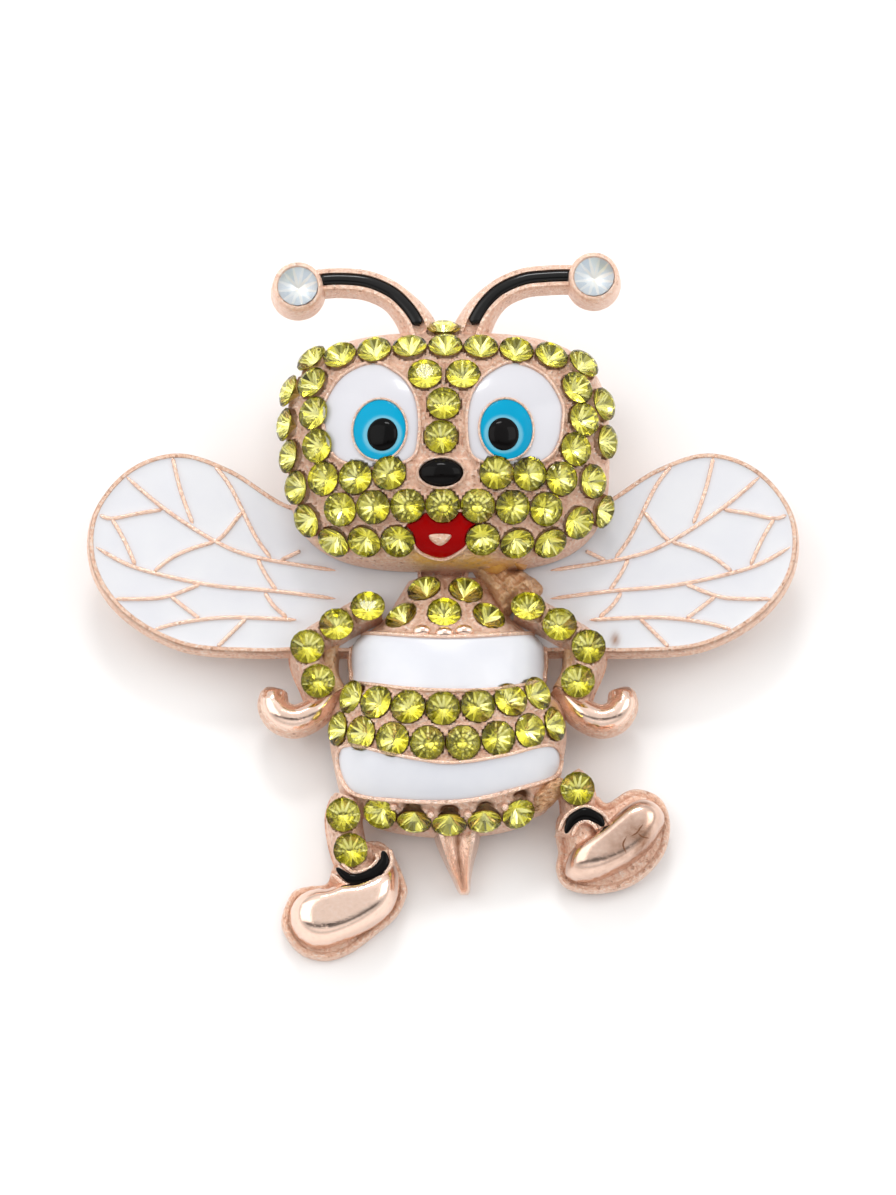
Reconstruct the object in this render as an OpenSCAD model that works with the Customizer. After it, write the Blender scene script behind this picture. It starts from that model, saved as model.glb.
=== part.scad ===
// Bee brooch: a cast, plated figure with enamel fields and set stones, lying face up on its pin.
// Everything is drawn flat first, with z = 0 at the back of the casting and the head towards +Y,
// and module lying() then leans it the way it rests: on the pin and on the lower boot.

/* [Wings] */
// Width over both wings
wing_span = 50; // [46:0.5:56]
// Length of a wing along the body
wing_l = 14.4; // [13:0.1:17]
// Distance of the wings' middle above the brooch's middle
wing_y = 3.5; // [3:0.1:4]
// Thickness of the wing plate
plate_t = 1.6; // [1.4:0.05:2.2]
// Width of the metal rim round the enamel
rim_w = 0.3; // [0.2:0.01:0.45]
// Width of a vein
vein_w = 0.26; // [0.2:0.01:0.4]
// Depth of the enamel in the wings
wing_enamel_t = 0.4; // [0.25:0.01:0.6]
// Length of the bar that joins the wings behind the head
web_l = 12; // [11:0.1:14]

/* [Head] */
// Width of the head
head_w = 23.8; // [22:0.1:27]
// Length of the head along the body
head_l = 18; // [17:0.1:20]
// Height of the head's dome above its seat
head_h = 6.3; // [5.5:0.1:7.5]
// Distance of the head's middle above the brooch's middle
head_y = 10.65; // [10:0.05:11.5]
// Height of one eye
eye_l = 7.8; // [7:0.1:8.6]
// Width of one eye
eye_w = 6.7; // [6:0.1:7.2]
// Diameter of a pupil
pupil_d = 2.3; // [1.8:0.1:2.6]
// Width of the nose
nose_w = 3.2; // [2.6:0.1:3.8]
// Width of the mouth
mouth_w = 5.7; // [5:0.1:6.5]

/* [Antennae] */
// Diameter of a ball at its foot
ball_d = 3.9; // [3.6:0.05:4.6]
// Height of a ball
ball_h = 2.5; // [2:0.1:3.2]
// Width of an antenna's top face
antenna_w = 1.6; // [1.4:0.05:2]
// Height of an antenna
antenna_h = 1.9; // [1.5:0.1:2.4]
// Width of the enamel in an antenna
channel_w = 0.8; // [0.5:0.05:1]

/* [Body] */
// Width of the body
torso_w = 17; // [16:0.1:19]
// Length of the body
torso_l = 18.2; // [17:0.1:20]
// Height of the body's dome
torso_h = 6.5; // [5.8:0.1:7.5]
// Distance of the body's middle below the brooch's middle
torso_y = 7.6; // [7:0.1:8]
// Width of an arm or a leg
limb_w = 2.9; // [2.7:0.05:3.4]
// Height of an arm or a leg
limb_h = 3.1; // [2.6:0.1:3.6]
// Width of a hand's round bar
hand_w = 2.3; // [1.9:0.05:2.7]
// Height of a boot
boot_h = 3.9; // [3.2:0.1:4.6]
// Length of the stinger
sting_l = 3.9; // [3:0.1:5]

/* [Castings] */
// Wall of the hollow castings
wall = 1.55; // [1.4:0.05:2]
// Depth of the enamel in the head and body
enamel_t = 0.45; // [0.3:0.01:0.6]
// How far enamel lies below the metal round it
enamel_drop = 0.1; // [0.05:0.01:0.2]

/* [Stones] */
// Diameter of a yellow stone
stone_d = 2.25; // [2:0.05:2.4]
// Diameter of a clear stone in an antenna
crystal_d = 2.7; // [2.2:0.05:2.9]
// Least distance between two stones
stone_gap = 0.1; // [0.1:0.01:0.3]

/* [Pin] */
// Length of the pin's bar
pin_l = 29; // [24:0.5:34]
// Distance of the pin above the brooch's middle
pin_y = 5.6; // [5:0.1:7]
// Height of the pin behind the casting
pin_h = 3.8; // [3.4:0.1:5]
// Width of the pin's bar
pin_w = 3; // [2.4:0.1:3.6]
// Thickness of the pin's bar
pin_bar_t = 0.7; // [0.5:0.05:1]
// Diameter of the pin's wire
pin_d = 0.8; // [0.6:0.05:1]

/* [Hidden] */
$fn = 32;

// Running gaps and small shares
gap = 0.06;
seat_gap = 0.06;
stone_facets = 8;
table_share = 0.55;
crown_share = 0.16;
pavilion_share = 0.34;
tall = 30;
half_span = wing_span / 2;
head_z = plate_t + 0.15;
body_x = 0.35;
pitch = stone_d + stone_gap;

// The head's dome: place, half sizes, how full its outline, its sides, its brow and its chin are
HEAD = [[0.4, head_y, head_z], [head_w / 2, head_l / 2, head_h],
        function(t) arch(t, 3.2), function(t) arch(t, t > 0 ? 2 : 3.6), 2.2];
// The body's sections, from the hem to the neck: place along it, width, height
TORSO_FORM = [[-1, 0.66, 0.36], [-0.9, 0.8, 0.6], [-0.7, 0.9, 0.84], [-0.45, 0.96, 0.96],
              [-0.2, 1, 1], [0.05, 0.94, 0.98], [0.3, 0.9, 0.92], [0.5, 0.8, 0.83],
              [0.7, 0.56, 0.69], [0.85, 0.46, 0.56], [1, 0.38, 0.42]];
TORSO = [[body_x, -torso_y, 0], [torso_w / 2, torso_l / 2, torso_h],
         function(t) section_at(t, 1), function(t) section_at(t, 2), 2.3];

// Outline of a wing as shares of half the span and half the wing's length
WING = [[0.08, 0.05], [0.3, 0.36], [0.445, 0.48], [0.6, 0.82], [0.75, 0.98], [0.89, 0.81], [0.985, 0.37],
        [0.985, -0.16], [0.895, -0.62], [0.73, -0.935], [0.53, -1], [0.4, -0.96], [0.24, -0.86], [0.08, -0.75]];
// Veins of a wing in the same shares
VEINS = [
    [[0.91, 0.8], [0.79, 0.44], [0.64, 0.1], [0.52, -0.06], [0.3, -0.19]],
    [[0.765, 1], [0.74, 0.61], [0.704, 0.27]],
    [[0.655, 0.92], [0.6, 0.65], [0.53, 0.16], [0.483, -0.07]],
    [[0.566, 0.4], [0.614, 0.18], [0.641, 0.1]],
    [[0.99, 0.37], [0.934, 0.33], [0.86, 0.38], [0.79, 0.42]],
    [[0.934, 0.33], [0.9, 0.13], [0.865, -0.14]],
    [[0.99, 0.05], [0.865, -0.16], [0.66, -0.33], [0.48, -0.39], [0.3, -0.47]],
    [[0.641, 0.1], [0.711, 0.025], [0.765, -0.065], [0.814, -0.2]],
    [[0.523, -0.07], [0.499, -0.23], [0.468, -0.39]],
    [[0.459, -0.09], [0.4, 0.01]],
    [[0.96, -0.47], [0.834, -0.47], [0.768, -0.44], [0.68, -0.32]],
    [[0.768, -0.44], [0.725, -0.56], [0.683, -0.67]],
    [[0.85, -0.83], [0.74, -0.71], [0.6, -0.655], [0.41, -0.68]],
    [[0.503, -0.4], [0.476, -0.54], [0.437, -0.66]],
    [[0.552, -0.66], [0.592, -0.8], [0.645, -1]]
];

// Outline of the right eye round its middle, as shares of its half width and half height
EYE = [[-0.01, 1], [0.61, 0.775], [0.98, 0.275], [1, -0.12], [0.9, -0.54], [0.61, -0.84], [-0.02, -1],
       [-0.81, -0.85], [-0.98, -0.4], [-0.95, 0.15], [-0.78, 0.53], [-0.48, 0.81]];
eye_at = [0.42 * head_w / 2, head_y + 0.172 * head_l / 2];
// The iris and the pupil of the right eye: shares of its half width and half height from its middle
iris_at = [-0.16, -0.27];
iris_size = [0.56, 0.59];
pupil_at = [-0.23, -0.4];
ring_w = 0.2;
nose_at = [-0.013 * head_w / 2, head_y - 0.289 * head_l / 2];
nose_share = 0.64;
// Outline of the mouth and of the tongue round the lip's middle, as shares of half the mouth's width
MOUTH = [[-0.98, -0.02], [-0.77, -0.34], [-0.53, -0.61], [0, -0.72], [0.5, -0.52], [0.65, -0.21],
         [0.98, 0.14], [0.6, 0], [0.2, -0.04], [-0.2, -0.05], [-0.6, 0]];
TONGUE = [[-0.35, -0.25], [0.21, -0.25], [0.12, -0.4], [-0.07, -0.49], [-0.27, -0.4]];
mouth_at = [0, head_y - 0.705 * head_l / 2];
// Enamel fields of the body, as shares of its half width and half length round its middle
CHEST = [[-0.8, 0.5], [-0.4, 0.47], [0, 0.45], [0.4, 0.47], [0.8, 0.5], [0.86, 0.3], [0.76, 0.17], [0.4, 0.06],
         [0, 0.04], [-0.4, 0.08], [-0.74, 0.2], [-0.88, 0.3]];
BELLY = [[-0.88, -0.36], [-0.45, -0.46], [0, -0.53], [0.45, -0.47], [0.88, -0.35], [0.86, -0.5], [0.45, -0.7],
         [0.1, -0.79], [-0.4, -0.78], [-0.8, -0.68]];
// Holes between the arms and the body: middle as shares of the body, width and length as shares of a limb's width
HOLES = [[[-0.87, 0.2], 0.4, 0.655], [[0.87, 0.24], 0.43, 0.76]];

// Rows of stones on the head: first, middle and last stone, as shares of the head's half sizes
HEAD_ROWS = [
    [[-0.03, 0.94], [-0.02, 0.94], [-0.01, 0.94]],
    [[-0.645, 0.695], [0.08, 0.75], [0.8, 0.645]],
    [[-0.14, 0.49], [-0.03, 0.49], [0.085, 0.49]],
    [[-0.03, 0.24], [-0.035, 0.1], [-0.045, -0.03]],
    [[-0.815, 0.7], [-0.795, 0.15], [-0.74, -0.32]],
    [[-0.95, 0.45], [-0.96, 0], [-0.84, -0.62]],
    [[0.76, 0.42], [0.8, 0.16], [0.75, -0.085]],
    [[0.92, 0.32], [0.94, 0.17], [0.94, 0.02]],
    [[0.855, -0.32], [0.925, -0.52], [0.77, -0.65]],
    [[-0.55, -0.33], [-0.45, -0.32], [-0.35, -0.31]],
    [[0.28, -0.31], [0.48, -0.31], [0.665, -0.33]],
    [[-0.64, -0.57], [-0.09, -0.57], [0.575, -0.575]],
    [[-0.68, -0.8], [-0.5, -0.82], [-0.3, -0.83]],
    [[0.2, -0.82], [0.39, -0.84], [0.6, -0.82]]
];
// Rows of stones on the body, in the same way
BODY_ROWS = [
    [[-0.2, 0.9], [0, 0.91], [0.15, 0.88]],
    [[-0.39, 0.67], [-0.04, 0.68], [0.34, 0.66]],
    [[-0.8, 0.03], [-0.04, -0.11], [0.74, 0.05]],
    [[-0.91, -0.205], [0, -0.38], [0.88, -0.175]],
    [[-0.56, -0.87], [0, -0.95], [0.58, -0.87]]
];
// Stones of an arm outwards from the shoulder: shares of the body's half width and half length,
// share of the limb's height, tilt towards the head
ARM = [[0.66, 0.745, 1.2, 26], [0.92, 0.61, 1.08, 10], [1.16, 0.44, 1, 0], [1.07, 0.17, 1, 0]];

// Boots from the toe to the ankle: middles as shares of the body's half sizes, radii as shares of the limb's width
LEFT_BOOT = [[-1.082, -1.648, 0.845], [-0.829, -1.56, 0.776], [-0.606, -1.352, 0.603]];
RIGHT_BOOT = [[1.124, -1.22, 0.81], [1.371, -1.066, 0.759], [1.594, -0.846, 0.69]];
flange_w = 0.35;
flange_t = 1;
// Cuffs and legs in the same shares, legs from the body to the boot
LEFT_CUFF = [[-0.894, -1.297], [-0.771, -1.357], [-0.641, -1.319], [-0.559, -1.231], [-0.547, -1.154]];
RIGHT_CUFF = [[0.982, -1], [1.053, -0.901], [1.159, -0.879], [1.253, -0.967]];
LEFT_LEG = [[-0.782, -0.637], [-0.861, -0.874], [-0.8, -1.148], [-0.665, -1.341]];
RIGHT_LEG = [[0.876, -0.484], [1.065, -0.67], [1.088, -0.923], [1.124, -1.143]];
cuff_w = 0.75;
cuff_h = limb_h + 0.2;

// Small helpers
function arch(v, k) = pow(max(0, 1 - pow(abs(v), k)), 1 / k);
function at(list, i) = list[(i + len(list)) % len(list)];
function clamp(v, low, high) = max(low, min(high, v));
function blend(a, b, t) = a + (b - a) * t;
function unit(v) = v / norm(v);
function total(list, i = 0) = i < len(list) ? list[i] + total(list, i + 1) : 0;
function flip(points) = [for (p = points) [-p.x, p.y]];
function on_body(points) = sized(points, torso_w / 2, torso_l / 2, [body_x, -torso_y]);
function on_head(points) = sized(points, head_w / 2, head_l / 2, [0, head_y]);
function boot_parts(table) = [for (r = table) let (p = on_body([r])[0]) [p.x, p.y, r[2] * limb_w]];
function sized(points, sx, sy, place = [0, 0]) = [for (p = points) [place.x + p.x * sx, place.y + p.y * sy]];

// A smooth curve through points, closed or open
function smooth(a, b, c, d, t) =
    0.5 * (2 * b + (c - a) * t + (2 * a - 5 * b + 4 * c - d) * t * t + (3 * b - a - 3 * c + d) * t * t * t);
function ring(points, steps) =
    [for (i = [0:len(points) - 1], k = [0:steps - 1])
        smooth(at(points, i - 1), points[i], at(points, i + 1), at(points, i + 2), k / steps)];
function line(points, steps) = let (last = len(points) - 1)
    [for (i = [0:last - 1], k = [0:steps - 1])
        smooth(points[max(0, i - 1)], points[i], points[i + 1], points[min(last, i + 2)], k / steps),
     points[last]];
// The outline moved inwards by d, and a strip of width w along a line
function side(a, b) = let (v = unit([b.x - a.x, b.y - a.y])) [-v.y, v.x];
function turns(points) = sign(total([for (i = [0:len(points) - 1]) let (p = points[i], q = at(points, i + 1))
    p.x * q.y - p.y * q.x]));
function inset(points, d) = let (way = turns(points)) [for (i = [0:len(points) - 1])
    points[i] + d * way * side(at(points, i - 1), at(points, i + 1))];
function sides(points) = let (last = len(points) - 1)
    [for (i = [0:last]) side(points[max(0, i - 1)], points[min(last, i + 1)])];
function strip(points, w) = let (s = sides(points), last = len(points) - 1)
    concat([for (i = [0:last]) [points[i].x, points[i].y] + s[i] * w / 2],
           [for (i = [last:-1:0]) [points[i].x, points[i].y] - s[i] * w / 2]);

// Width or height share of the body at a place along it
function section_at(t, column) = let (
        last = len(TORSO_FORM) - 1,
        i = clamp(len([for (r = TORSO_FORM) if (r[0] <= t) 1]) - 1, 0, last - 1),
        a = TORSO_FORM[max(0, i - 1)], b = TORSO_FORM[i],
        c = TORSO_FORM[i + 1], d = TORSO_FORM[min(last, i + 2)],
        k = clamp((t - b[0]) / (c[0] - b[0]), 0, 1))
    smooth(a[column], b[column], c[column], d[column], k);

// A dome's surface: its height over a place, the point there and the direction that it faces
function dome_z(dome, x, y) = let (
        t = clamp((y - dome[0].y) / dome[1].y, -1, 1),
        u = (x - dome[0].x) / (dome[1].x * dome[2](t) + 0.001))
    dome[0].z + dome[1].z * dome[3](t) * arch(min(1, abs(u)), dome[4]);
function dome_point(dome, x, y) = [x, y, dome_z(dome, x, y)];
function dome_facing(dome, x, y, e = 0.06) = unit([
    dome_z(dome, x - e, y) - dome_z(dome, x + e, y), dome_z(dome, x, y - e) - dome_z(dome, x, y + e), 2 * e]);
// A closed dome, moved inwards by d, with rows of facets along it and round it
function dome_ring(dome, t, d, round) = let (
        size = dome[1] - [d, d, d],
        w = size.x * dome[2](t), h = max(0.1, size.z * dome[3](t)), k = 2 / dome[4])
    [for (i = [0:round]) let (a = 180 * i / round, c = cos(a), s = sin(a))
        dome[0] + [w * sign(c) * pow(abs(c), k), size.y * t, h * pow(abs(s), k)]];
module dome(form, d = 0, along = 14, round = 13, reach = 0.985) {
    rows = [for (i = [0:along]) dome_ring(form, reach * sin(90 * (2 * i / along - 1)), d, round)];
    skin(rows);
}
// A closed skin over rows of points, each row running the same way round
module skin(rows) {
    n = len(rows[0]);
    last = len(rows) - 1;
    points = [for (r = rows) for (p = r) p];
    faces = concat(
        [for (r = [0:last - 1], i = [0:n - 1], half = [0, 1]) let (
                a = r * n + i, b = r * n + (i + 1) % n, c = a + n, d = b + n)
            half == 0 ? [a, b, c] : [b, d, c]],
        [[for (i = [n - 1:-1:0]) i], [for (i = [0:n - 1]) last * n + i]]);
    polyhedron(points, faces, convexity = 6);
}
// A bar along a line of [x, y, width, height] with a profile of [across, up] shares
module bar(path, profile, z = 0) {
    s = sides(path);
    skin([for (i = [0:len(path) - 1]) [for (p = profile)
        [path[i].x - s[i].x * p.x * path[i][2] / 2, path[i].y - s[i].y * p.x * path[i][2] / 2,
         z + p.y * path[i][3]]]]);
}
DRAFTED = [[1.25, 0], [1, 1], [-1, 1], [-1.25, 0]];
GROOVED = [[1.25, 0], [1, 1], [0, 0.6], [-1, 1], [-1.25, 0]];
ROUNDED = [for (a = [-10:40:190]) [cos(a), max(0, 0.25 + 0.75 * sin(a))]];

// Rows of stones: a curve through three places, stepped evenly over the dome
function arc_at(row, s) = let (a = row[0], b = row[1], c = row[2])
    a * (1 - s) * (1 - 2 * s) + b * 4 * s * (1 - s) + c * s * (2 * s - 1);
function row_places(dome, row, fine = 40) = let (
        path = [for (i = [0:fine]) let (p = arc_at(row, i / fine))
            dome_point(dome, dome[0].x + p.x * dome[1].x, dome[0].y + p.y * dome[1].y)],
        steps = [for (i = [1:fine]) norm(path[i] - path[i - 1])],
        length = total(steps),
        count = max(1, floor(length / pitch + 0.02)),
        marks = [for (i = 0, run = 0; i <= fine; run = run + (i < fine ? steps[i] : 0), i = i + 1) [run, i / fine]])
    [for (k = [0:count]) let (p = arc_at(row, lookup(length * k / count, marks)),
            x = dome[0].x + p.x * dome[1].x, y = dome[0].y + p.y * dome[1].y)
        if (length > pitch * 0.9 || k == 0) [dome_point(dome, x, y), dome_facing(dome, x, y)]];
// Places that keep their distance from all the places before them
function apart(places, kept = [], i = 0) = i >= len(places) ? kept : let (
        near = [for (k = kept) if (norm(k[0] - places[i][0]) < pitch - 0.02) 1])
    apart(places, len(near) == 0 ? concat(kept, [places[i]]) : kept, i + 1);
function arm_places(hand) = [for (r = ARM)
    [[body_x + hand * r[0] * torso_w / 2, -torso_y + r[1] * torso_l / 2, r[2] * limb_h], [0, sin(r[3]), cos(r[3])]]];
leg_stones = [for (p = on_body([LEFT_LEG[1], LEFT_LEG[2], RIGHT_LEG[1]])) [[p.x, p.y, limb_h + 0.05], [0, 0, 1]]];
head_places = apart([for (row = HEAD_ROWS) for (p = row_places(HEAD, row)) p]);
body_places = apart([for (p = arm_places(1)) p, for (p = arm_places(-1)) p, for (p = leg_stones) p,
                     for (row = BODY_ROWS) for (p = row_places(TORSO, row)) p]);

// A cut stone with its table up and its girdle at z = 0
module stone(d) {
    r = d / 2;
    function turn(radius, z) = [for (i = [0:stone_facets - 1])
        [radius * cos(360 * i / stone_facets), radius * sin(360 * i / stone_facets), z]];
    points = concat(turn(r * table_share, d * crown_share), turn(r, 0), [[0, 0, -d * pavilion_share]]);
    n = stone_facets;
    faces = concat([[for (i = [n - 1:-1:0]) i]],
        [for (i = [0:n - 1]) let (j = (i + 1) % n) [i, j, n + j, n + i]],
        [for (i = [0:n - 1]) [n + i, n + (i + 1) % n, 2 * n]]);
    polyhedron(points, faces);
}
// The cup that a stone sits in, open above
module cup(d) {
    r = d / 2 + seat_gap;
    hull() {
        translate([0, 0, -0.1]) cylinder(r = r, h = 0.8, $fn = stone_facets);
        translate([0, 0, -d * pavilion_share - 0.12]) cylinder(r1 = 0, r2 = 0.1, h = 0.1, $fn = stone_facets);
    }
}
module on(place) {
    n = place[1];
    translate(place[0]) rotate([0, acos(n.z), atan2(n.y, n.x)]) children();
}
module lying() {
    translate([0, -rest_middle, rest_lift]) rotate([lean, 0, 0]) children();
}

// The stinger from the hem to its tip: shares of its length, then width and height
STING = [[-0.1, 0, 2.6, 2.1], [0.02, 0.35, 2, 1.9], [0.12, 0.72, 1.2, 1.5], [0.18, 0.97, 0.7, 1.1]];
sting_at = [1.05, -torso_y - torso_l / 2 + 0.3];
// A hand from the wrist round to its tip: shares of its reach, of the bar's width and of its height
HAND = [[0, 0, 0.9, 0.9], [0.12, -0.34, 1, 1], [0.42, -0.52, 1, 1], [0.74, -0.44, 1, 1], [0.97, -0.2, 1, 0.95],
        [1.02, 0.02, 0.85, 0.8], [1.03, 0.12, 0.5, 0.5]];
hand_reach = 3.4;
// Antennae from the ball to the head, as shares of the head's half sizes, the ball's own place first
LEFT_ANTENNA = [[-0.861, 1.267], [-0.807, 1.306], [-0.714, 1.333], [-0.58, 1.339], [-0.445, 1.317],
                [-0.311, 1.239], [-0.218, 1.128], [-0.151, 0.994], [-0.118, 0.872]];
RIGHT_ANTENNA = [[0.895, 1.344], [0.84, 1.35], [0.748, 1.367], [0.613, 1.361], [0.479, 1.339],
                 [0.345, 1.261], [0.252, 1.15], [0.185, 1.006], [0.143, 0.872]];
left_ball = on_head(LEFT_ANTENNA)[0];
right_ball = on_head(RIGHT_ANTENNA)[0];

// How the brooch lies: the pin's lower edge and the lower boot meet the table
boot_end = boot_parts(LEFT_BOOT)[0].y - boot_parts(LEFT_BOOT)[0][2] - flange_w;
lean = atan2(pin_h, pin_y - pin_w / 2 - boot_end);
rest_lift = -boot_end * sin(lean);
rest_top = (right_ball.y + ball_d / 2) * cos(lean) - head_z * sin(lean);
rest_middle = (rest_top + boot_end * cos(lean)) / 2;

// Solids that several pieces share
module prism(points, low = -1, high = tall, clear = 0) {
    translate([0, 0, low]) linear_extrude(high - low)
        if (clear == 0) polygon(points); else offset(delta = -clear) polygon(points);
}
module drafted(points, grow, h) {
    skin([[for (p = inset(points, -grow)) [p.x, p.y, 0]], [for (p = points) [p.x, p.y, h]]]);
}
module above(form, points, depth) {
    difference() {
        prism(points, form[0].z + 0.5);
        dome(form, depth, 12, 11, 0.99);
    }
}
module layer(form, points, top, thick) {
    difference() {
        intersection() {
            prism(points, form[0].z + 0.55, clear = gap);
            dome(form, top, 12, 11, 0.99);
        }
        dome(form, top + thick, 12, 11, 0.99);
    }
}
module button(r, below, rise, step = 15) {
    rotate_extrude() polygon(concat([[0, -below], [r, -below]],
        [for (a = [0:step:80]) [r * cos(a), rise * sin(a)]], [[0, rise]]));
}
module cups(places, d) {
    for (p = places) on(p) cup(d);
}

// The wings
wing_outline = ring(sized(WING, half_span, wing_l / 2, [0, wing_y]), 2);
wing_field = inset(wing_outline, rim_w);
wing_veins = [for (v = VEINS) line(sized(v, half_span, wing_l / 2, [0, wing_y]), 2)];
wing_floor = plate_t - enamel_drop - wing_enamel_t;
torso_outline = concat([for (t = [-1:0.1:1]) [torso_w / 2 * section_at(t, 1), torso_l / 2 * t]],
                       [for (t = [1:-0.1:-1]) [-torso_w / 2 * section_at(t, 1), torso_l / 2 * t]]);
module wing_area(clear, left) {
    difference() {
        polygon(inset(wing_field, clear));
        for (v = wing_veins) polygon(strip(v, vein_w + 2 * clear));
        translate([left ? -body_x : body_x, -torso_y]) polygon(inset(torso_outline, -clear));
        polygon(strip(as_left(arm_line(left ? -1 : 1), left), limb_w + 2 * clear));
    }
}
module wing(left = false) {
    difference() {
        drafted(wing_outline, 0.25, plate_t);
        translate([0, 0, wing_floor - gap]) linear_extrude(plate_t) wing_area(0, left);
    }
}
module wing_enamel(left = false) {
    color("white") translate([0, 0, wing_floor]) linear_extrude(wing_enamel_t) wing_area(gap, left);
}

// Arms, hands, legs and boots
function arm_line(hand) = [for (p = concat([[body_x + hand * torso_w / 4, -torso_y + 0.8 * torso_l / 2]],
    [for (q = arm_places(hand)) [q[0].x, q[0].y]])) p];
function wrist(hand) = let (p = arm_places(hand)[3][0]) [p.x - hand * 0.45, p.y - 1.1];
function hand_line(hand) = line([for (r = HAND) let (w = wrist(hand))
    [w.x + hand * r[0] * hand_reach, w.y + r[1] * hand_reach, r[2] * hand_w, r[3] * hand_w]], 2);
module limb(points, w, h) {
    bar([for (p = points) [p.x, p.y, w / 1.25, h]], DRAFTED);
}
module arm(hand) {
    limb(concat(arm_line(hand), [wrist(hand)]), limb_w, limb_h - 0.1);
    bar(hand_line(hand), ROUNDED);
}
module boot(table) {
    parts = boot_parts(table);
    intersection() {
        for (i = [0, 1]) hull() for (p = [parts[i], parts[i + 1]])
            translate([p.x, p.y, flange_t / 2]) scale([1, 1, (boot_h - flange_t / 2) / p[2]])
                sphere(r = p[2], $fn = 10);
        translate([-half_span, -2 * half_span, 0]) cube(2 * half_span);
    }
    for (i = [0, 1]) hull() for (p = [parts[i], parts[i + 1]])
        translate([p.x, p.y, 0]) cylinder(r1 = p[2] + flange_w, r2 = p[2] + flange_w / 2, h = flange_t, $fn = 12);
}
module leg(points, cuff, table) {
    limb(on_body(points), limb_w, limb_h);
    bar([for (p = on_body(cuff)) [p.x, p.y, cuff_w + 2 * rim_w, cuff_h]], DRAFTED);
    boot(table);
}
module cuff_enamel(cuff) {
    color("black") translate([0, 0, cuff_h - enamel_drop - enamel_t]) linear_extrude(enamel_t + enamel_drop)
        polygon(strip(line(on_body(cuff), 3), cuff_w - 2 * gap));
}
module body_casting() {
    color("rosybrown") difference() {
        union() {
            wing();
            mirror([1, 0, 0]) wing(true);
            translate([-0.56 * half_span, wing_y - wing_l / 2, 0]) cube([1.12 * half_span, web_l, 0.9]);
            dome(TORSO);
            arm(1);
            arm(-1);
            leg(LEFT_LEG, LEFT_CUFF, LEFT_BOOT);
            leg(RIGHT_LEG, RIGHT_CUFF, RIGHT_BOOT);
            bar([for (r = STING) [sting_at.x + r[0] * sting_l, sting_at.y - r[1] * sting_l, r[2], r[3]]], GROOVED);
        }
        translate([0, 0, -0.3]) dome(TORSO, wall - 0.15, 8, 9);
        above(TORSO, torso_field(CHEST), enamel_drop + enamel_t + gap);
        above(TORSO, torso_field(BELLY), enamel_drop + enamel_t + gap);
        holes(0);
        for (c = [LEFT_CUFF, RIGHT_CUFF])
            prism(strip(line(on_body(c), 3), cuff_w), cuff_h - enamel_drop - enamel_t - gap);
        cups(body_places, stone_d);
    }
}
function torso_field(table) = ring(on_body(table), 2);
module holes(clear) {
    for (h = HOLES) let (p = on_body([h[0]])[0]) translate([p.x, p.y, -1])
        scale([h[1] / h[2], 1, 1]) cylinder(d = h[2] * limb_w + clear, h = tall, $fn = 14);
}
module torso_enamel(table) {
    color("white") difference() {
        layer(TORSO, torso_field(table), enamel_drop, enamel_t);
        holes(2 * gap);
        cups(body_places, stone_d + 2 * gap);
    }
}

// The head with its antennae, eyes, nose and mouth
right_eye = ring(sized(EYE, eye_w / 2, eye_l / 2, eye_at), 2);
function oval(grow) = [for (a = [0:20:340])
    [eye_at.x + iris_at.x * eye_w / 2 + (iris_size.x * eye_w / 2 + grow) * cos(a),
     eye_at.y + iris_at.y * eye_l / 2 + (iris_size.y * eye_l / 2 + grow) * sin(a)]];
pupil_place = let (x = eye_at.x + pupil_at.x * eye_w / 2, y = eye_at.y + pupil_at.y * eye_l / 2)
    [dome_point(HEAD, x, y), dome_facing(HEAD, x, y)];
left_pupil_place = let (x = -pupil_place[0].x, y = pupil_place[0].y)
    [dome_point(HEAD, x, y), dome_facing(HEAD, x, y)];
nose_place = [dome_point(HEAD, nose_at.x, nose_at.y), dome_facing(HEAD, nose_at.x, nose_at.y)];
mouth_field = ring(sized(MOUTH, mouth_w / 2, mouth_w / 2, mouth_at), 2);
tongue_field = ring(sized(TONGUE, mouth_w / 2, mouth_w / 2, mouth_at), 2);
function as_left(points, left) = left ? flip(points) : points;
module antenna(points, ball) {
    translate([0, 0, head_z]) bar([for (p = line(arm_of(points), 2)) [p.x, p.y, antenna_w, antenna_h]], DRAFTED);
    translate([ball.x, ball.y, head_z]) cylinder(d1 = ball_d, d2 = ball_d - 0.6, h = ball_h);
}
function crystal_place(ball) = [[ball.x, ball.y, head_z + ball_h - 0.05], [0, 0, 1]];
function arm_of(antenna) = on_head([for (i = [1:len(antenna) - 1]) antenna[i]]);
function channel(antenna, clear) = strip(line(on_head([for (i = [2:len(antenna) - 3]) antenna[i]]), 2),
                                         channel_w - 2 * clear);
module eye_cut(left) {
    difference() {
        above(HEAD, as_left(right_eye, left), enamel_drop + enamel_t + gap);
        prism(as_left(oval(ring_w), left));
    }
    above(HEAD, as_left(oval(0), left), enamel_drop + enamel_t + gap);
}
module head_casting() {
    color("rosybrown") difference() {
        union() {
            dome(HEAD);
            antenna(LEFT_ANTENNA, left_ball);
            antenna(RIGHT_ANTENNA, right_ball);
        }
        translate([0, 0, -0.3]) dome(HEAD, wall - 0.15, 8, 9);
        eye_cut(true);
        eye_cut(false);
        difference() {
            above(HEAD, mouth_field, enamel_drop + enamel_t + gap);
            prism(tongue_field);
        }
        on(nose_place) scale([nose_share, 1, 1]) translate([0, 0, -enamel_t - gap])
            cylinder(d = nose_w + 3 * gap, h = 3, $fn = 20);
        for (c = [[LEFT_ANTENNA, left_ball], [RIGHT_ANTENNA, right_ball]]) {
            prism(channel(c[0], 0), head_z + antenna_h - enamel_t - gap);
            on(crystal_place(c[1])) cup(crystal_d);
        }
        cups(head_places, stone_d);
    }
}
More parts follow.
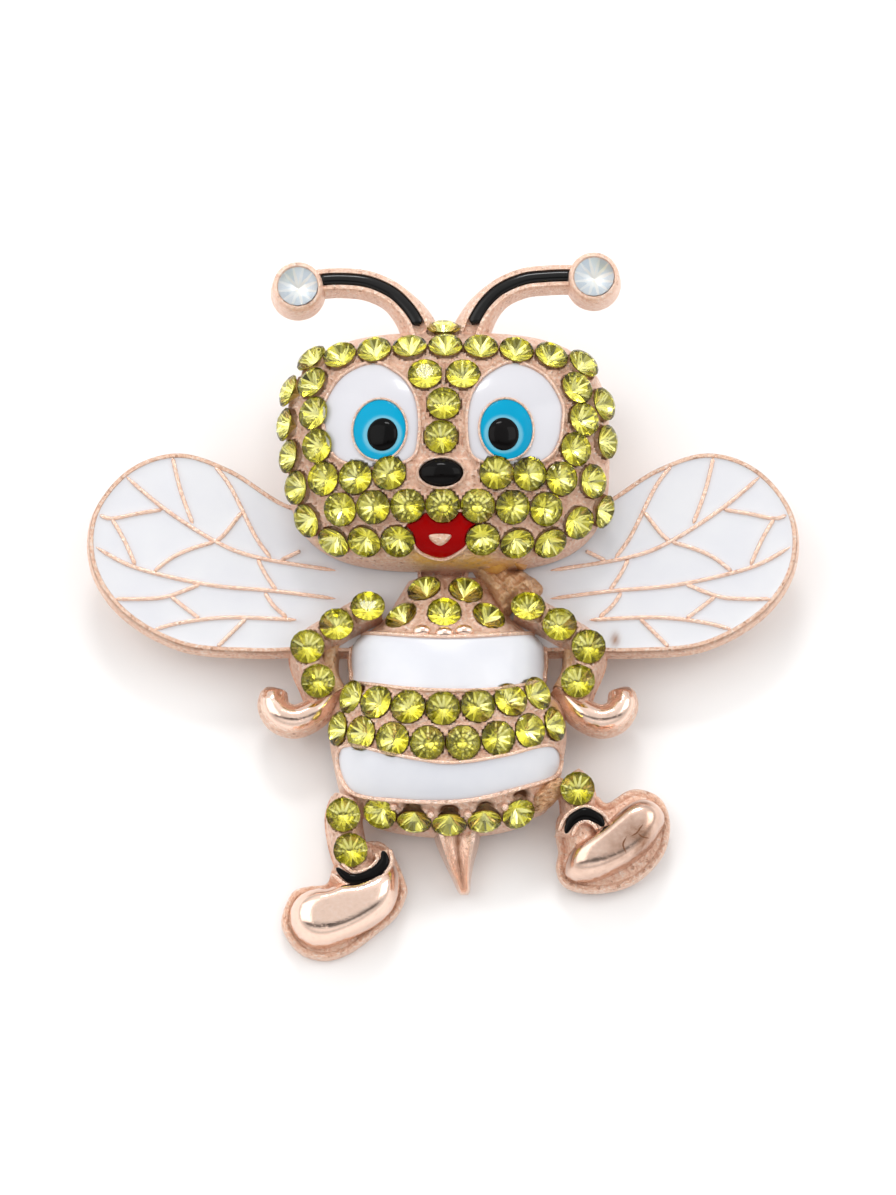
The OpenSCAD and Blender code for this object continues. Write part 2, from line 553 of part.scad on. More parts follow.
module eye_white(left) {
    color("white") difference() {
        layer(HEAD, as_left(right_eye, left), enamel_drop, enamel_t);
        prism(as_left(oval(ring_w + gap), left));
        cups(head_places, stone_d + 2 * gap);
    }
}
module iris(left) {
    color("deepskyblue") difference() {
        layer(HEAD, as_left(oval(0), left), enamel_drop, enamel_t);
        on(left ? left_pupil_place : pupil_place)
            cylinder(d = pupil_d + 3 * gap, h = 4, center = true, $fn = 16);
        cups(head_places, stone_d + 2 * gap);
    }
}
module pupil(place) {
    color("black") on(place) button(pupil_d / 2, enamel_t * 0.8, 0.3);
}
module antenna_enamel(points) {
    color("black") translate([0, 0, head_z + antenna_h - enamel_t]) linear_extrude(enamel_t + 0.05)
        polygon(channel(points, gap));
}

// Nodes of the drawing
module pin_back() {
    foot = 2.4;
    color("silver") {
        translate([-pin_l / 2, pin_y - pin_w / 2, -gap - pin_bar_t]) cube([pin_l, pin_w, pin_bar_t]);
        for (x = [-pin_l / 2, pin_l / 2 - foot]) translate([x, pin_y - pin_w / 2, -pin_h])
            cube([foot, pin_w, pin_h - gap - pin_bar_t / 2]);
        translate([-pin_l / 2 + foot / 2, pin_y, -pin_h + pin_d]) rotate([0, 90, 0])
            cylinder(d = pin_d, h = pin_l - foot);
    }
}
module left_wing_enamel() { mirror([1, 0, 0]) wing_enamel(true); }
module right_wing_enamel() { wing_enamel(); }
module chest_enamel() { torso_enamel(CHEST); }
module belly_enamel() { torso_enamel(BELLY); }
module left_eye_white() { eye_white(true); }
module right_eye_white() { eye_white(false); }
module left_iris() { iris(true); }
module right_iris() { iris(false); }
module left_pupil() { pupil(left_pupil_place); }
module right_pupil() { pupil(pupil_place); }
module nose() {
    color("black") on(nose_place) scale([nose_share, 1, 1]) button(nose_w / 2, enamel_t, 0.6, 38, $fn = 16);
}
module mouth_enamel() {
    color("red") difference() {
        layer(HEAD, mouth_field, enamel_drop, enamel_t);
        prism(tongue_field, clear = -gap);
        cups(head_places, stone_d + 2 * gap);
    }
}
module left_antenna_enamel() { antenna_enamel(LEFT_ANTENNA); }
module right_antenna_enamel() { antenna_enamel(RIGHT_ANTENNA); }
module left_cuff_enamel() { cuff_enamel(LEFT_CUFF); }
module right_cuff_enamel() { cuff_enamel(RIGHT_CUFF); }
module head_stones() {
    color("yellowgreen") for (p = head_places) on(p) stone(stone_d);
}
module body_stones() {
    color("yellowgreen") for (p = body_places) on(p) stone(stone_d);
}
module left_crystal() {
    color("lightcyan") on(crystal_place(left_ball)) stone(crystal_d);
}
module right_crystal() {
    color("lightcyan") on(crystal_place(right_ball)) stone(crystal_d);
}

lying() body_casting();
lying() head_casting();
lying() pin_back();
lying() left_wing_enamel();
lying() right_wing_enamel();
lying() chest_enamel();
lying() belly_enamel();
lying() left_eye_white();
lying() right_eye_white();
lying() left_iris();
lying() right_iris();
lying() left_pupil();
lying() right_pupil();
lying() nose();
lying() mouth_enamel();
lying() left_antenna_enamel();
lying() right_antenna_enamel();
lying() left_cuff_enamel();
lying() right_cuff_enamel();
lying() head_stones();
lying() body_stones();
lying() left_crystal();
lying() right_crystal();
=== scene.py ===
"""A bee brooch in rose-gold plate with enamel and cut stones, dressed over its measured solids.

Shapes are drawn flat in millimetres, with z = 0 at the back of the casting and the head towards +Y,
and Lie lays them down in metres the way the brooch rests on its pin and on its lower boot.
"""
import logging
import math
import random
from collections.abc import Callable, Sequence
from dataclasses import dataclass, field
from enum import Enum

import bmesh
import bpy
import numpy as np
from mathutils import Matrix, Vector


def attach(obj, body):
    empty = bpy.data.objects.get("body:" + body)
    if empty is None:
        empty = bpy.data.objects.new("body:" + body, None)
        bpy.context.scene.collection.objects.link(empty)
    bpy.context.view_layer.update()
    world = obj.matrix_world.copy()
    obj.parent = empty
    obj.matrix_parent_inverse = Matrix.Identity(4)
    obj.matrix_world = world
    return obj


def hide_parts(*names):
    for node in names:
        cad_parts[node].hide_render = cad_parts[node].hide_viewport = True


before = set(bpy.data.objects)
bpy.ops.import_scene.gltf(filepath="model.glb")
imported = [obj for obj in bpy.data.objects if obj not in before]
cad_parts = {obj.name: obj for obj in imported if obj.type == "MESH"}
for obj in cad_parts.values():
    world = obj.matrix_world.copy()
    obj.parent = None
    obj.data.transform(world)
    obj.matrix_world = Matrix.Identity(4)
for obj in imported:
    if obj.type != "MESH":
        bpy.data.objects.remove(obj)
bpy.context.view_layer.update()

log = logging.getLogger("bee_brooch")
Points = np.ndarray
Table = Sequence[Sequence[float]]
UP = np.array([0.0, 0, 1])
FAR = 1e9
TINY = 1e-12


# How the brooch lies


@dataclass(frozen=True)
class Lie:
    """The way the brooch rests on the table, sizes in millimetres."""

    pin_edge: float = 4.1
    pin_height: float = 3.8
    boot_end: float = -25.4
    top_end: float = 24.7
    head_seat: float = 1.75

    @property
    def lean(self) -> float:
        """Angle between the casting's back and the table."""
        return math.atan2(self.pin_height, self.pin_edge - self.boot_end)

    @property
    def lift(self) -> float:
        """Height of the casting's origin over the table."""
        return -self.boot_end * math.sin(self.lean)

    @property
    def middle(self) -> float:
        """Middle of the lying brooch along Y."""
        top = self.top_end * math.cos(self.lean) - self.head_seat * math.sin(self.lean)
        return (top + self.boot_end * math.cos(self.lean)) / 2

    def matrix(self) -> Matrix:
        """From the flat drawing in millimetres to the table in metres."""
        return (Matrix.Scale(0.001, 4) @ Matrix.Translation((0, -self.middle, self.lift))
                @ Matrix.Rotation(self.lean, 4, "X"))


LIE = Lie()


# Curves and sheets


def smooth_curve(points: Table, steps: int, closed: bool = False) -> Points:
    """Draws a smooth curve through points.

    Args:
        points: The places that the curve goes through.
        steps: How many parts each stretch gets.
        closed: Whether the curve comes back to its start.

    Returns:
        The points of the curve.
    """
    p = np.asarray(points, float)
    n = len(p)
    out = []
    for i in range(n if closed else n - 1):
        if closed:
            a, b, c, d = p[i - 1], p[i], p[(i + 1) % n], p[(i + 2) % n]
        else:
            a, b, c, d = p[max(0, i - 1)], p[i], p[i + 1], p[min(n - 1, i + 2)]
        for k in range(steps):
            t = k / steps
            out.append(0.5 * (2 * b + (c - a) * t + (2 * a - 5 * b + 4 * c - d) * t * t
                              + (3 * b - a - 3 * c + d) * t ** 3))
    if not closed:
        out.append(p[-1])
    return np.array(out)


def even(points: Points, count: int, closed: bool = False) -> Points:
    """Spaces points evenly along a curve.

    Args:
        points: The curve.
        count: How many points to lay down.
        closed: Whether the curve comes back to its start.

    Returns:
        The evenly spaced points.
    """
    p = np.vstack([points, points[:1]]) if closed else np.asarray(points, float)
    run = np.concatenate([[0], np.cumsum(np.linalg.norm(np.diff(p, axis=0), axis=1))])
    marks = np.linspace(0, run[-1], count + 1)[:-1] if closed else np.linspace(0, run[-1], count)
    return np.stack([np.interp(marks, run, p[:, k]) for k in range(p.shape[1])], axis=1)


def share(table: Table, size: tuple[float, float], place: tuple[float, float]) -> Points:
    """Turns rows of shares of a size into places round a middle."""
    return np.asarray(table, float) * np.array(size) + np.array(place)


def mirrored(points: Points) -> Points:
    """The same points on the other side of the brooch."""
    return points * np.array([-1.0, 1.0])


def unit(v: Points) -> Points:
    """Vectors of length one."""
    return v / np.maximum(np.linalg.norm(v, axis=-1, keepdims=True), 1e-9)


def step(low: float, high: float, v: Points) -> Points:
    """A smooth step from 0 at low to 1 at high."""
    t = np.clip((v - low) / (high - low), 0, 1)
    return t * t * (3 - 2 * t)


def hump(v: Points, at: float, wide: float, power: int = 2) -> Points:
    """A hump of height 1 round a place, steeper at its flanks for a higher power."""
    return np.exp(-((v - at) / wide) ** power)


def from_stretch(start: Points, way: Points, xy: Points) -> Points:
    """Distance of places from a straight stretch, given its start and the way to its end."""
    t = np.clip(((xy - start) @ way) / max(way @ way, TINY), 0, 1)
    return np.linalg.norm(xy - start - t[:, None] * way, axis=1)


def inside_by(outline: Points, xy: Points) -> Points:
    """Measures how far places lie inside an outline.

    Args:
        outline: A closed outline in the flat.
        xy: The places.

    Returns:
        The distance to the outline, below zero outside it.
    """
    best = np.full(len(xy), FAR)
    crossed = np.zeros(len(xy), bool)
    for p, q in zip(outline, np.roll(outline, -1, axis=0)):
        e = q - p
        best = np.minimum(best, from_stretch(p, e, xy))
        over = (p[1] > xy[:, 1]) != (q[1] > xy[:, 1])
        if abs(e[1]) > TINY:
            crossed ^= over & (xy[:, 0] < p[0] + (xy[:, 1] - p[1]) * e[0] / e[1])
    return np.where(crossed, best, -best)


def near_line(line: Points, xy: Points) -> Points:
    """Distance of places from an open line."""
    return np.min([from_stretch(p, q - p, xy) for p, q in zip(line[:-1], line[1:])], axis=0)


def offset(outline: Points, out: float) -> Points:
    """Moves a closed outline outwards.

    Args:
        outline: The outline, its first two columns across and along.
        out: How far, below zero for inwards.

    Returns:
        The moved outline.
    """
    xy = outline[:, :2]
    way = np.roll(xy, -1, axis=0) - np.roll(xy, 1, axis=0)
    turn = np.sign(np.sum(xy[:, 0] * np.roll(xy[:, 1], -1) - np.roll(xy[:, 0], -1) * xy[:, 1]))
    side = unit(np.stack([way[:, 1], -way[:, 0]], axis=1)) * turn
    moved = outline.copy()
    moved[:, :2] = xy + side * out
    return moved


def right_of(line: Points) -> Points:
    """Directions to the right of an open line in the flat."""
    way = unit(np.gradient(line, axis=0))
    return np.stack([way[:, 1], -way[:, 0]], axis=1)


def raised(xy: Points, z: float | Points) -> Points:
    """Places in the flat, raised to a height."""
    return np.column_stack([xy, np.broadcast_to(z, len(xy))])


def inflate(outline: Points, xy: Points, pitch: float = 0.12, rounds: int = 900,
            push: float = 0.01) -> Points:
    """Blows up a flat outline like a cushion.

    Args:
        outline: The closed outline.
        xy: The places to read.
        pitch: Width of a cell while it is worked out.
        rounds: How often the cells settle against each other.
        push: How much each cell rises in a round.

    Returns:
        The height at each place as a share of the highest.
    """
    low = outline.min(0) - 2 * pitch
    count = np.ceil((outline.max(0) + 2 * pitch - low) / pitch).astype(int) + 1
    gx, gy = np.meshgrid(low[0] + pitch * np.arange(count[0]), low[1] + pitch * np.arange(count[1]),
                         indexing="ij")
    held = (inside_by(outline, np.column_stack([gx.ravel(), gy.ravel()])) > 0).reshape(gx.shape)
    u = np.zeros(gx.shape)
    for _ in range(rounds):
        u[1:-1, 1:-1] = 0.25 * (u[2:, 1:-1] + u[:-2, 1:-1] + u[1:-1, 2:] + u[1:-1, :-2]) + push
        u *= held
    u /= u.max()
    at = (xy - low) / pitch
    i = np.clip(at.astype(int), 0, np.array(u.shape) - 2)
    f = np.clip(at - i, 0, 1)
    near, far = (u[i[:, 0], i[:, 1] + k] * (1 - f[:, 0]) + u[i[:, 0] + 1, i[:, 1] + k] * f[:, 0]
                 for k in (0, 1))
    return near * (1 - f[:, 1]) + far * f[:, 1]


def island(start: Sequence[bmesh.types.BMVert]) -> list[bmesh.types.BMVert]:
    """Collects all the corners that hang together with some.

    Args:
        start: The corners to start from.

    Returns:
        The corners, those to start from too.
    """
    found, queue, seen = [], list(start), set(start)
    while queue:
        v = queue.pop()
        found.append(v)
        for e in v.link_edges:
            w = e.other_vert(v)
            if w not in seen:
                seen.add(w)
                queue.append(w)
    return found


def mesh_of(name: str, bm: bmesh.types.BMesh) -> bpy.types.Mesh:
    """Turns a shape into a mesh and frees it.

    Args:
        name: The mesh's name.
        bm: The shape.

    Returns:
        The mesh.
    """
    mesh = bpy.data.meshes.new(name)
    bm.to_mesh(mesh)
    bm.free()
    return mesh


def put(name: str, data: bpy.types.ID) -> bpy.types.Object:
    """Puts an object into the scene.

    Args:
        name: Its name.
        data: Its mesh, lamp or camera.

    Returns:
        The object.
    """
    thing = bpy.data.objects.new(name, data)
    bpy.context.scene.collection.objects.link(thing)
    return thing


class Form:
    """A shape being built from sheets that are rolled, closed and joined."""

    # The hollow mark sets how far grime and painted shade darken a place.
    MARKS = ("hollow", "polish", "tint")
    MERGE = 2e-4

    def __init__(self) -> None:
        """Starts an empty shape with its marks."""
        self.bm = bmesh.new()
        for name in self.MARKS:
            self.bm.verts.layers.float.new(name)
        self.facet = self.bm.faces.layers.float.new("facet")

    def skin(self, rows: Points, wrap: bool = True, cap: bool = False, material: int = 0,
             **marks: Points | float) -> "Form":
        """Lays a grid over rows of points and closes its seam and poles.

        Args:
            rows: Rows of points, each running the same way.
            wrap: Whether each row closes on itself.
            cap: Whether the two open ends are filled.
            material: The number of the finish on it.
            marks: Values for hollow, polish and tint, one for all or one for each point.

        Returns:
            This form.
        """
        rows = np.asarray(rows, float)
        count, n = rows.shape[:2]
        across = n if wrap else n - 1
        made = bmesh.ops.create_grid(self.bm, x_segments=across, y_segments=count - 1,
                                     size=0.5)["verts"]
        at = np.array([v.co for v in made])
        i = np.rint((at[:, 1] + 0.5) * (count - 1)).astype(int)
        j = np.rint((at[:, 0] + 0.5) * across).astype(int) % n
        for v, p in zip(made, rows[i, j].tolist()):
            v.co = p
        for name in self.MARKS:
            layer = self.bm.verts.layers.float[name]
            laid = np.broadcast_to(np.asarray(marks.get(name, 0.0), float), (count, n))[i, j]
            for v, value in zip(made, laid.tolist()):
                v[layer] = value
        for f in {f for v in made for f in v.link_faces}:
            f.material_index = material
        bmesh.ops.remove_doubles(self.bm, verts=made, dist=self.MERGE)
        if cap:
            ends = [e for v in made if v.is_valid for e in v.link_edges if e.is_boundary]
            for f in bmesh.ops.holes_fill(self.bm, edges=list(set(ends)), sides=0)["faces"]:
                f.material_index = material
        return self

    def wire(self, path: Points, width: float, height: float, up: Points | None = None,
             closed: bool = False, sides: int = 8, taper: float = 0.0, beads: float = 0.0,
             **marks: float) -> "Form":
        """Lays a round wire along a path.

        Args:
            path: The wire's middle.
            width: Its width.
            height: Its height.
            up: The direction away from what carries it, at each point.
            closed: Whether the wire is a ring.
            sides: How many sides it has.
            taper: Share of the path over which each end of an open wire runs thin.
            beads: How much every second step is thinner, for a milled wire.
            marks: Values for hollow, polish and tint.

        Returns:
            This form.
        """
        p = np.asarray(path, float)
        n = len(p)
        way = unit(np.roll(p, -1, axis=0) - np.roll(p, 1, axis=0) if closed else np.gradient(p, axis=0))
        rise = np.tile(UP, (n, 1)) if up is None else np.asarray(up, float)
        side = unit(np.cross(way, rise))
        rise = unit(np.cross(side, way))
        size = np.ones(n)
        if taper:
            t = np.linspace(0, 1, n)
            size = np.sqrt(np.clip(np.minimum(t, 1 - t) / taper, 0, 1))
        size = (size * (1 - beads * (np.arange(n) % 2)))[:, None, None]
        turn = np.linspace(0, 2 * np.pi, sides, endpoint=False)
        rows = (p[:, None] + side[:, None] * (np.cos(turn)[None, :, None] * width / 2 * size)
                + rise[:, None] * (np.sin(turn)[None, :, None] * height / 2 * size))
        if closed:
            rows = np.concatenate([rows, rows[:1]])
        return self.skin(rows, **marks)

    def turned(self, profile: Table, place: Matrix, around: int, **marks: float) -> "Form":
        """Spins a profile into a closed solid.

        Args:
            profile: Rows of radius and height, from the axis back to the axis.
            place: Where the axis stands.
            around: How many steps go round.
            marks: Values for hollow, polish and tint.

        Returns:
            This form.
        """
        start = [self.bm.verts.new((r, 0, z)) for r, z in profile]
        edges = [self.bm.edges.new(pair) for pair in zip(start[:-1], start[1:])]
        bmesh.ops.spin(self.bm, geom=start + edges, cent=(0, 0, 0), axis=(0, 0, 1), dvec=(0, 0, 0),
                       angle=2 * math.pi, steps=around, use_merge=True, use_duplicate=False)
        verts = island(start)
        for name, value in marks.items():
            layer = self.bm.verts.layers.float[name]
            for v in verts:
                v[layer] = value
        bmesh.ops.remove_doubles(self.bm, verts=verts, dist=self.MERGE)
        bmesh.ops.transform(self.bm, matrix=place, verts=[v for v in verts if v.is_valid])
        return self


def standing(place: Points, facing: Points, turn: float = 0.0) -> Matrix:
    """Stands something on a place, upright along a direction and turned round it."""
    tilt = Vector((0, 0, 1)).rotation_difference(Vector(facing)).to_matrix().to_4x4()
    return Matrix.Translation(Vector(place)) @ tilt @ Matrix.Rotation(turn, 4, "Z")


# Finishes


class Wiring:
    """A shader tree while it is wired."""

    MIX_SHARE, MIX_FIRST, MIX_SECOND, MIX_RESULT = 0, 6, 7, 2

    def __init__(self, tree: bpy.types.NodeTree) -> None:
        """Keeps the tree."""
        self.tree = tree

    def add(self, kind: str, settings: dict | None = None, **sockets: object) -> bpy.types.Node:
        """Adds a node.

        Args:
            kind: The node's type.
            settings: Its own settings.
            sockets: Values or output sockets by input name, spaces as underscores.

        Returns:
            The node.
        """
        node = self.tree.nodes.new(kind)
        for name, value in (settings or {}).items():
            setattr(node, name, value)
        for name, value in sockets.items():
            self.feed(node, name.replace("_", " "), value)
        return node

    def feed(self, node: bpy.types.Node, name: str | int, value: object) -> None:
        """Sets an input or links an output to it.

        Args:
            node: The node.
            name: The input's name or number.
            value: A value or an output socket.
        """
        socket = node.inputs[name]
        if isinstance(value, bpy.types.NodeSocket):
            self.tree.links.new(value, socket)
        else:
            socket.default_value = value

    def sum(self, operation: str, *values: object, clamp: bool = False) -> bpy.types.NodeSocket:
        """A Math node.

        Args:
            operation: What it works out.
            values: Its inputs.
            clamp: Whether the result stays from 0 to 1.

        Returns:
            Its output.
        """
        node = self.add("ShaderNodeMath", {"operation": operation, "use_clamp": clamp})
        for i, value in enumerate(values):
            self.feed(node, i, value)
        return node.outputs[0]

    def mix(self, share_of: object, a: object, b: object) -> bpy.types.NodeSocket:
        """A mix of two colours.

        Args:
            share_of: How much of the second.
            a: The first colour.
            b: The second colour.

        Returns:
            The mixed colour.
        """
        node = self.add("ShaderNodeMix", {"data_type": "RGBA"})
        self.feed(node, self.MIX_SHARE, share_of)
        self.feed(node, self.MIX_FIRST, a)
        self.feed(node, self.MIX_SECOND, b)
        return node.outputs[self.MIX_RESULT]

    def mark(self, name: str) -> bpy.types.NodeSocket:
        """The value that a piece carries under a name."""
        return self.add("ShaderNodeAttribute", {"attribute_name": name}).outputs["Fac"]

    def place(self) -> bpy.types.NodeSocket:
        """Object coordinates."""
        return self.add("ShaderNodeTexCoord").outputs["Object"]


GRAIN_SCALE, PIT_SCALE, GRIME_AND_SHADE_SCALE = 1000.0, 420.0, 900.0
PIT_REACH, PIT_FROM = 0.27, 0.52


class SharedEffect(Enum):
    """Effects that several finishes share."""

    GRAIN = "casting_grain"
    # Darkens where the hollow mark lies: real grime, and painted shade in recesses and creases.
    GRIME_AND_SHADE = "grime_and_shade_in_hollows"
    CLOUD = "clouded_colour"

    def group(self) -> bpy.types.NodeTree:
        """Builds the effect's node group once.

        Returns:
            The node group.
        """
        found = bpy.data.node_groups.get(self.value)
        if found:
            return found
        tree = bpy.data.node_groups.new(self.value, "ShaderNodeTree")
        {SharedEffect.GRAIN: self._grain, SharedEffect.GRIME_AND_SHADE: self._grime_and_shade,
         SharedEffect.CLOUD: self._cloud}[self](tree)
        return tree

    @staticmethod
    def _sockets(tree: bpy.types.NodeTree, given: dict[str, str], made: dict[str, str]) -> tuple:
        """Gives a group its named inputs and outputs.

        Args:
            tree: The group.
            given: Input names and their kinds.
            made: Output names and their kinds.

        Returns:
            The input node, the output node and the wiring.
        """
        for way, table in (("INPUT", given), ("OUTPUT", made)):
            for name, kind in table.items():
                tree.interface.new_socket(name=name, in_out=way, socket_type=f"NodeSocket{kind}")
        return tree.nodes.new("NodeGroupInput"), tree.nodes.new("NodeGroupOutput"), Wiring(tree)

    def _grain(self, tree: bpy.types.NodeTree) -> None:
        """Wires sand-cast grain with small pits.

        Args:
            tree: The group.
        """
        start, end, w = self._sockets(tree, {"Size": "Float", "Pits": "Float"},
                                      {"Height": "Float", "Pit": "Float"})
        place = w.place()
        scale = w.sum("DIVIDE", 0.001, start.outputs["Size"])
        fine = w.add("ShaderNodeTexNoise", Vector=place, Scale=w.sum("MULTIPLY", scale, GRAIN_SCALE),
                     Detail=5.0, Roughness=0.62)
        pits = w.add("ShaderNodeTexVoronoi", Vector=place, Scale=w.sum("MULTIPLY", scale, PIT_SCALE))
        pit = w.sum("MULTIPLY", w.sum("LESS_THAN", pits.outputs["Distance"], PIT_REACH),
                    w.sum("GREATER_THAN", fine.outputs["Fac"], PIT_FROM))
        pit = w.sum("MULTIPLY", pit, start.outputs["Pits"])
        w.feed(end, "Height", w.sum("SUBTRACT", fine.outputs["Fac"], pit))
        w.feed(end, "Pit", pit)

    def _grime_and_shade(self, tree: bpy.types.NodeTree) -> None:
        """Wires the darkening where the hollow mark lies: residue in the hollows, and painted shade in
        recesses.

        Args:
            tree: The group.
        """
        start, end, w = self._sockets(tree, {"Colour": "Color", "Grime": "Color", "Amount": "Float"},
                                      {"Colour": "Color", "Mask": "Float"})
        noise = w.add("ShaderNodeTexNoise", Vector=w.place(), Scale=GRIME_AND_SHADE_SCALE, Detail=4.0,
                      Roughness=0.6)
        uneven_by = w.sum("MULTIPLY_ADD", noise.outputs["Fac"], 1.7, -0.15)
        mask = w.sum("MULTIPLY", w.mark("hollow"), uneven_by)
        mask = w.sum("MULTIPLY", mask, start.outputs["Amount"], clamp=True)
        w.feed(end, "Colour", w.mix(mask, start.outputs["Colour"], start.outputs["Grime"]))
        w.feed(end, "Mask", mask)

    def _cloud(self, tree: bpy.types.NodeTree) -> None:
        """Wires slow changes between two shades of a colour.

        Args:
            tree: The group.
        """
        start, end, w = self._sockets(tree, {"Colour": "Color", "Shade": "Color", "Size": "Float"},
                                      {"Colour": "Color", "Mask": "Float"})
        scale = w.sum("DIVIDE", 1.0, start.outputs["Size"])
        noise = w.add("ShaderNodeTexNoise", Vector=w.place(), Scale=scale, Detail=3.0, Roughness=0.55)
        mask = w.sum("MULTIPLY_ADD", noise.outputs["Fac"], 2.4, -0.7, clamp=True)
        w.feed(end, "Colour", w.mix(mask, start.outputs["Colour"], start.outputs["Shade"]))
        w.feed(end, "Mask", mask)


@dataclass(frozen=True)
class Finish:
    """A finish: a named material and how it is wired."""

    name: str

    def material(self) -> bpy.types.Material:
        """Builds the material once.

        Returns:
            The material.
        """
        found = bpy.data.materials.get(self.name)
        if found:
            return found
        material = bpy.data.materials.new(self.name)
        material.use_nodes = True
        w = Wiring(material.node_tree)
        self.wire(w, material.node_tree.nodes["Principled BSDF"])
        return material

    def wire(self, w: Wiring, surface: bpy.types.Node) -> None:
        """Wires the finish's own nodes to its surface shader."""
        raise NotImplementedError

    @staticmethod
    def effect(w: Wiring, which: SharedEffect, **sockets: object) -> bpy.types.Node:
        """Places a shared effect in the tree.

        Args:
            w: The material's tree.
            which: The effect.
            sockets: Values or output sockets by input name.

        Returns:
            The group's node.
        """
        node = w.add("ShaderNodeGroup", {"node_tree": which.group()})
        for name, value in sockets.items():
            w.feed(node, name, value)
        return node


@dataclass(frozen=True)
class PlatedGold(Finish):
    """Rose-gold plate: polished where the polish mark says so, grainy elsewhere, with painted glints on the
    grain and painted shade in its hollows.
    """

    colour: tuple = (0.93, 0.69, 0.57, 1)
    grainy: tuple = (0.91, 0.625, 0.465, 1)
    shade: tuple = (0.72, 0.38, 0.25, 1)
    grime_and_shade: tuple = (0.26, 0.11, 0.05, 1)
    film: tuple = (1.0, 0.60, 0.10, 1)
    painted_glint: tuple = (1.0, 0.90, 0.83, 1)
    matte: float = 0.42
    bright: float = 0.11
    grain: float = 0.00024
    pits: float = 0.5
    metal_share: float = 0.5
    cloud: float = 0.0011
    cloud_share: float = 0.2
    specks: float = 0.85
    painted_glints: float = 0.8
    grime_and_shade_amount: float = 0.75
    grime_and_shade_rough: float = 0.25

    def wire(self, w: Wiring, surface: bpy.types.Node) -> None:
        """Wires the plated metal.

        Args:
            w: The material's tree.
            surface: Its surface shader.
        """
        polish = w.mark("polish")
        pale = tuple((1 - self.cloud_share) * a + self.cloud_share * b
                     for a, b in zip(self.grainy, self.shade))
        tone = self.effect(w, SharedEffect.CLOUD, Colour=self.grainy, Shade=pale, Size=self.cloud)
        fine = self.effect(w, SharedEffect.GRAIN, Size=self.grain, Pits=self.pits)
        low = w.sum("MULTIPLY_ADD", fine.outputs["Height"], -10.0, 4.75, clamp=True)
        # Painted highlight: the grain's high points turn toward a near-white glint colour.
        high = w.sum("MULTIPLY_ADD", fine.outputs["Height"], 9.0, -4.75, clamp=True)
        speckled = w.mix(w.sum("MULTIPLY", low, self.specks), tone.outputs["Colour"], self.shade)
        speckled = w.mix(w.sum("MULTIPLY", high, self.painted_glints), speckled, self.painted_glint)
        plain = w.mix(w.sum("MULTIPLY", polish, 0.9), speckled, self.colour)
        filmed = w.mix(w.mark("tint"), plain, self.film)
        rough = w.sum("MULTIPLY", fine.outputs["Height"], w.sum("MULTIPLY_ADD", polish, -0.97, 1.0))
        # Grime and painted shade: dark brown where the hollow mark lies; the cast pits take the same
        # colour.
        dark = self.effect(w, SharedEffect.GRIME_AND_SHADE, Colour=filmed, Grime=self.grime_and_shade, Amount=self.grime_and_shade_amount)
        pit = w.sum("MULTIPLY", fine.outputs["Pit"], w.sum("MULTIPLY_ADD", polish, -0.9, 0.9))
        w.feed(surface, "Base Color", w.mix(pit, dark.outputs["Colour"], self.grime_and_shade))
        metallic = w.sum("MULTIPLY_ADD", polish, 1 - self.metal_share, self.metal_share, clamp=True)
        w.feed(surface, "Metallic", metallic)
        sheen = w.sum("MULTIPLY_ADD", polish, self.bright - self.matte, self.matte)
        dulled = w.sum("MULTIPLY_ADD", dark.outputs["Mask"], self.grime_and_shade_rough, sheen, clamp=True)
        w.feed(surface, "Roughness", dulled)
        bump = w.add("ShaderNodeBump", Strength=1.0, Distance=0.0003, Height=rough)
        w.feed(surface, "Normal", bump.outputs["Normal"])


@dataclass(frozen=True)
class Enamel(Finish):
    """Fired enamel: an even colour under a clear skin, with a slow wave, a few specks and painted shade
    where the hollow mark lies.
    """

    colour: tuple = (0.74, 0.745, 0.78, 1)
    shade: tuple = (0.68, 0.69, 0.74, 1)
    speck_and_shade: tuple = (0.25, 0.20, 0.17, 1)
    tinted: tuple = (0.28, 0.11, 0.03, 1)
    rough: float = 0.22
    gloss: float = 0.6
    wave: float = 0.00002
    dirt_and_shade: float = 0.35
    coat_rough: float = 0.06

    def wire(self, w: Wiring, surface: bpy.types.Node) -> None:
        """Wires the enamel.

        Args:
            w: The material's tree.
            surface: Its surface shader.
        """
        tone = self.effect(w, SharedEffect.CLOUD, Colour=self.colour, Shade=self.shade, Size=0.004)
        fine = self.effect(w, SharedEffect.GRAIN, Size=0.0004, Pits=0.0)
        # Specks and painted shade darken the enamel where the hollow mark lies.
        dirt_and_shade = self.effect(w, SharedEffect.GRIME_AND_SHADE, Colour=tone.outputs["Colour"], Grime=self.speck_and_shade,
                           Amount=self.dirt_and_shade)
        w.feed(surface, "Base Color", w.mix(w.mark("tint"), dirt_and_shade.outputs["Colour"], self.tinted))
        surface.inputs["Roughness"].default_value = self.rough
        surface.inputs["Specular IOR Level"].default_value = 0.5 * self.gloss
        surface.inputs["Coat Weight"].default_value = 0.5 * self.gloss
        surface.inputs["Coat Roughness"].default_value = self.coat_rough
        slow = w.add("ShaderNodeTexNoise", Vector=w.place(), Scale=420.0, Detail=1.0)
        height = w.sum("MULTIPLY_ADD", fine.outputs["Height"], 0.06, slow.outputs["Fac"])
        bump = w.add("ShaderNodeBump", Strength=0.5, Distance=self.wave, Height=height)
        w.feed(surface, "Normal", bump.outputs["Normal"])


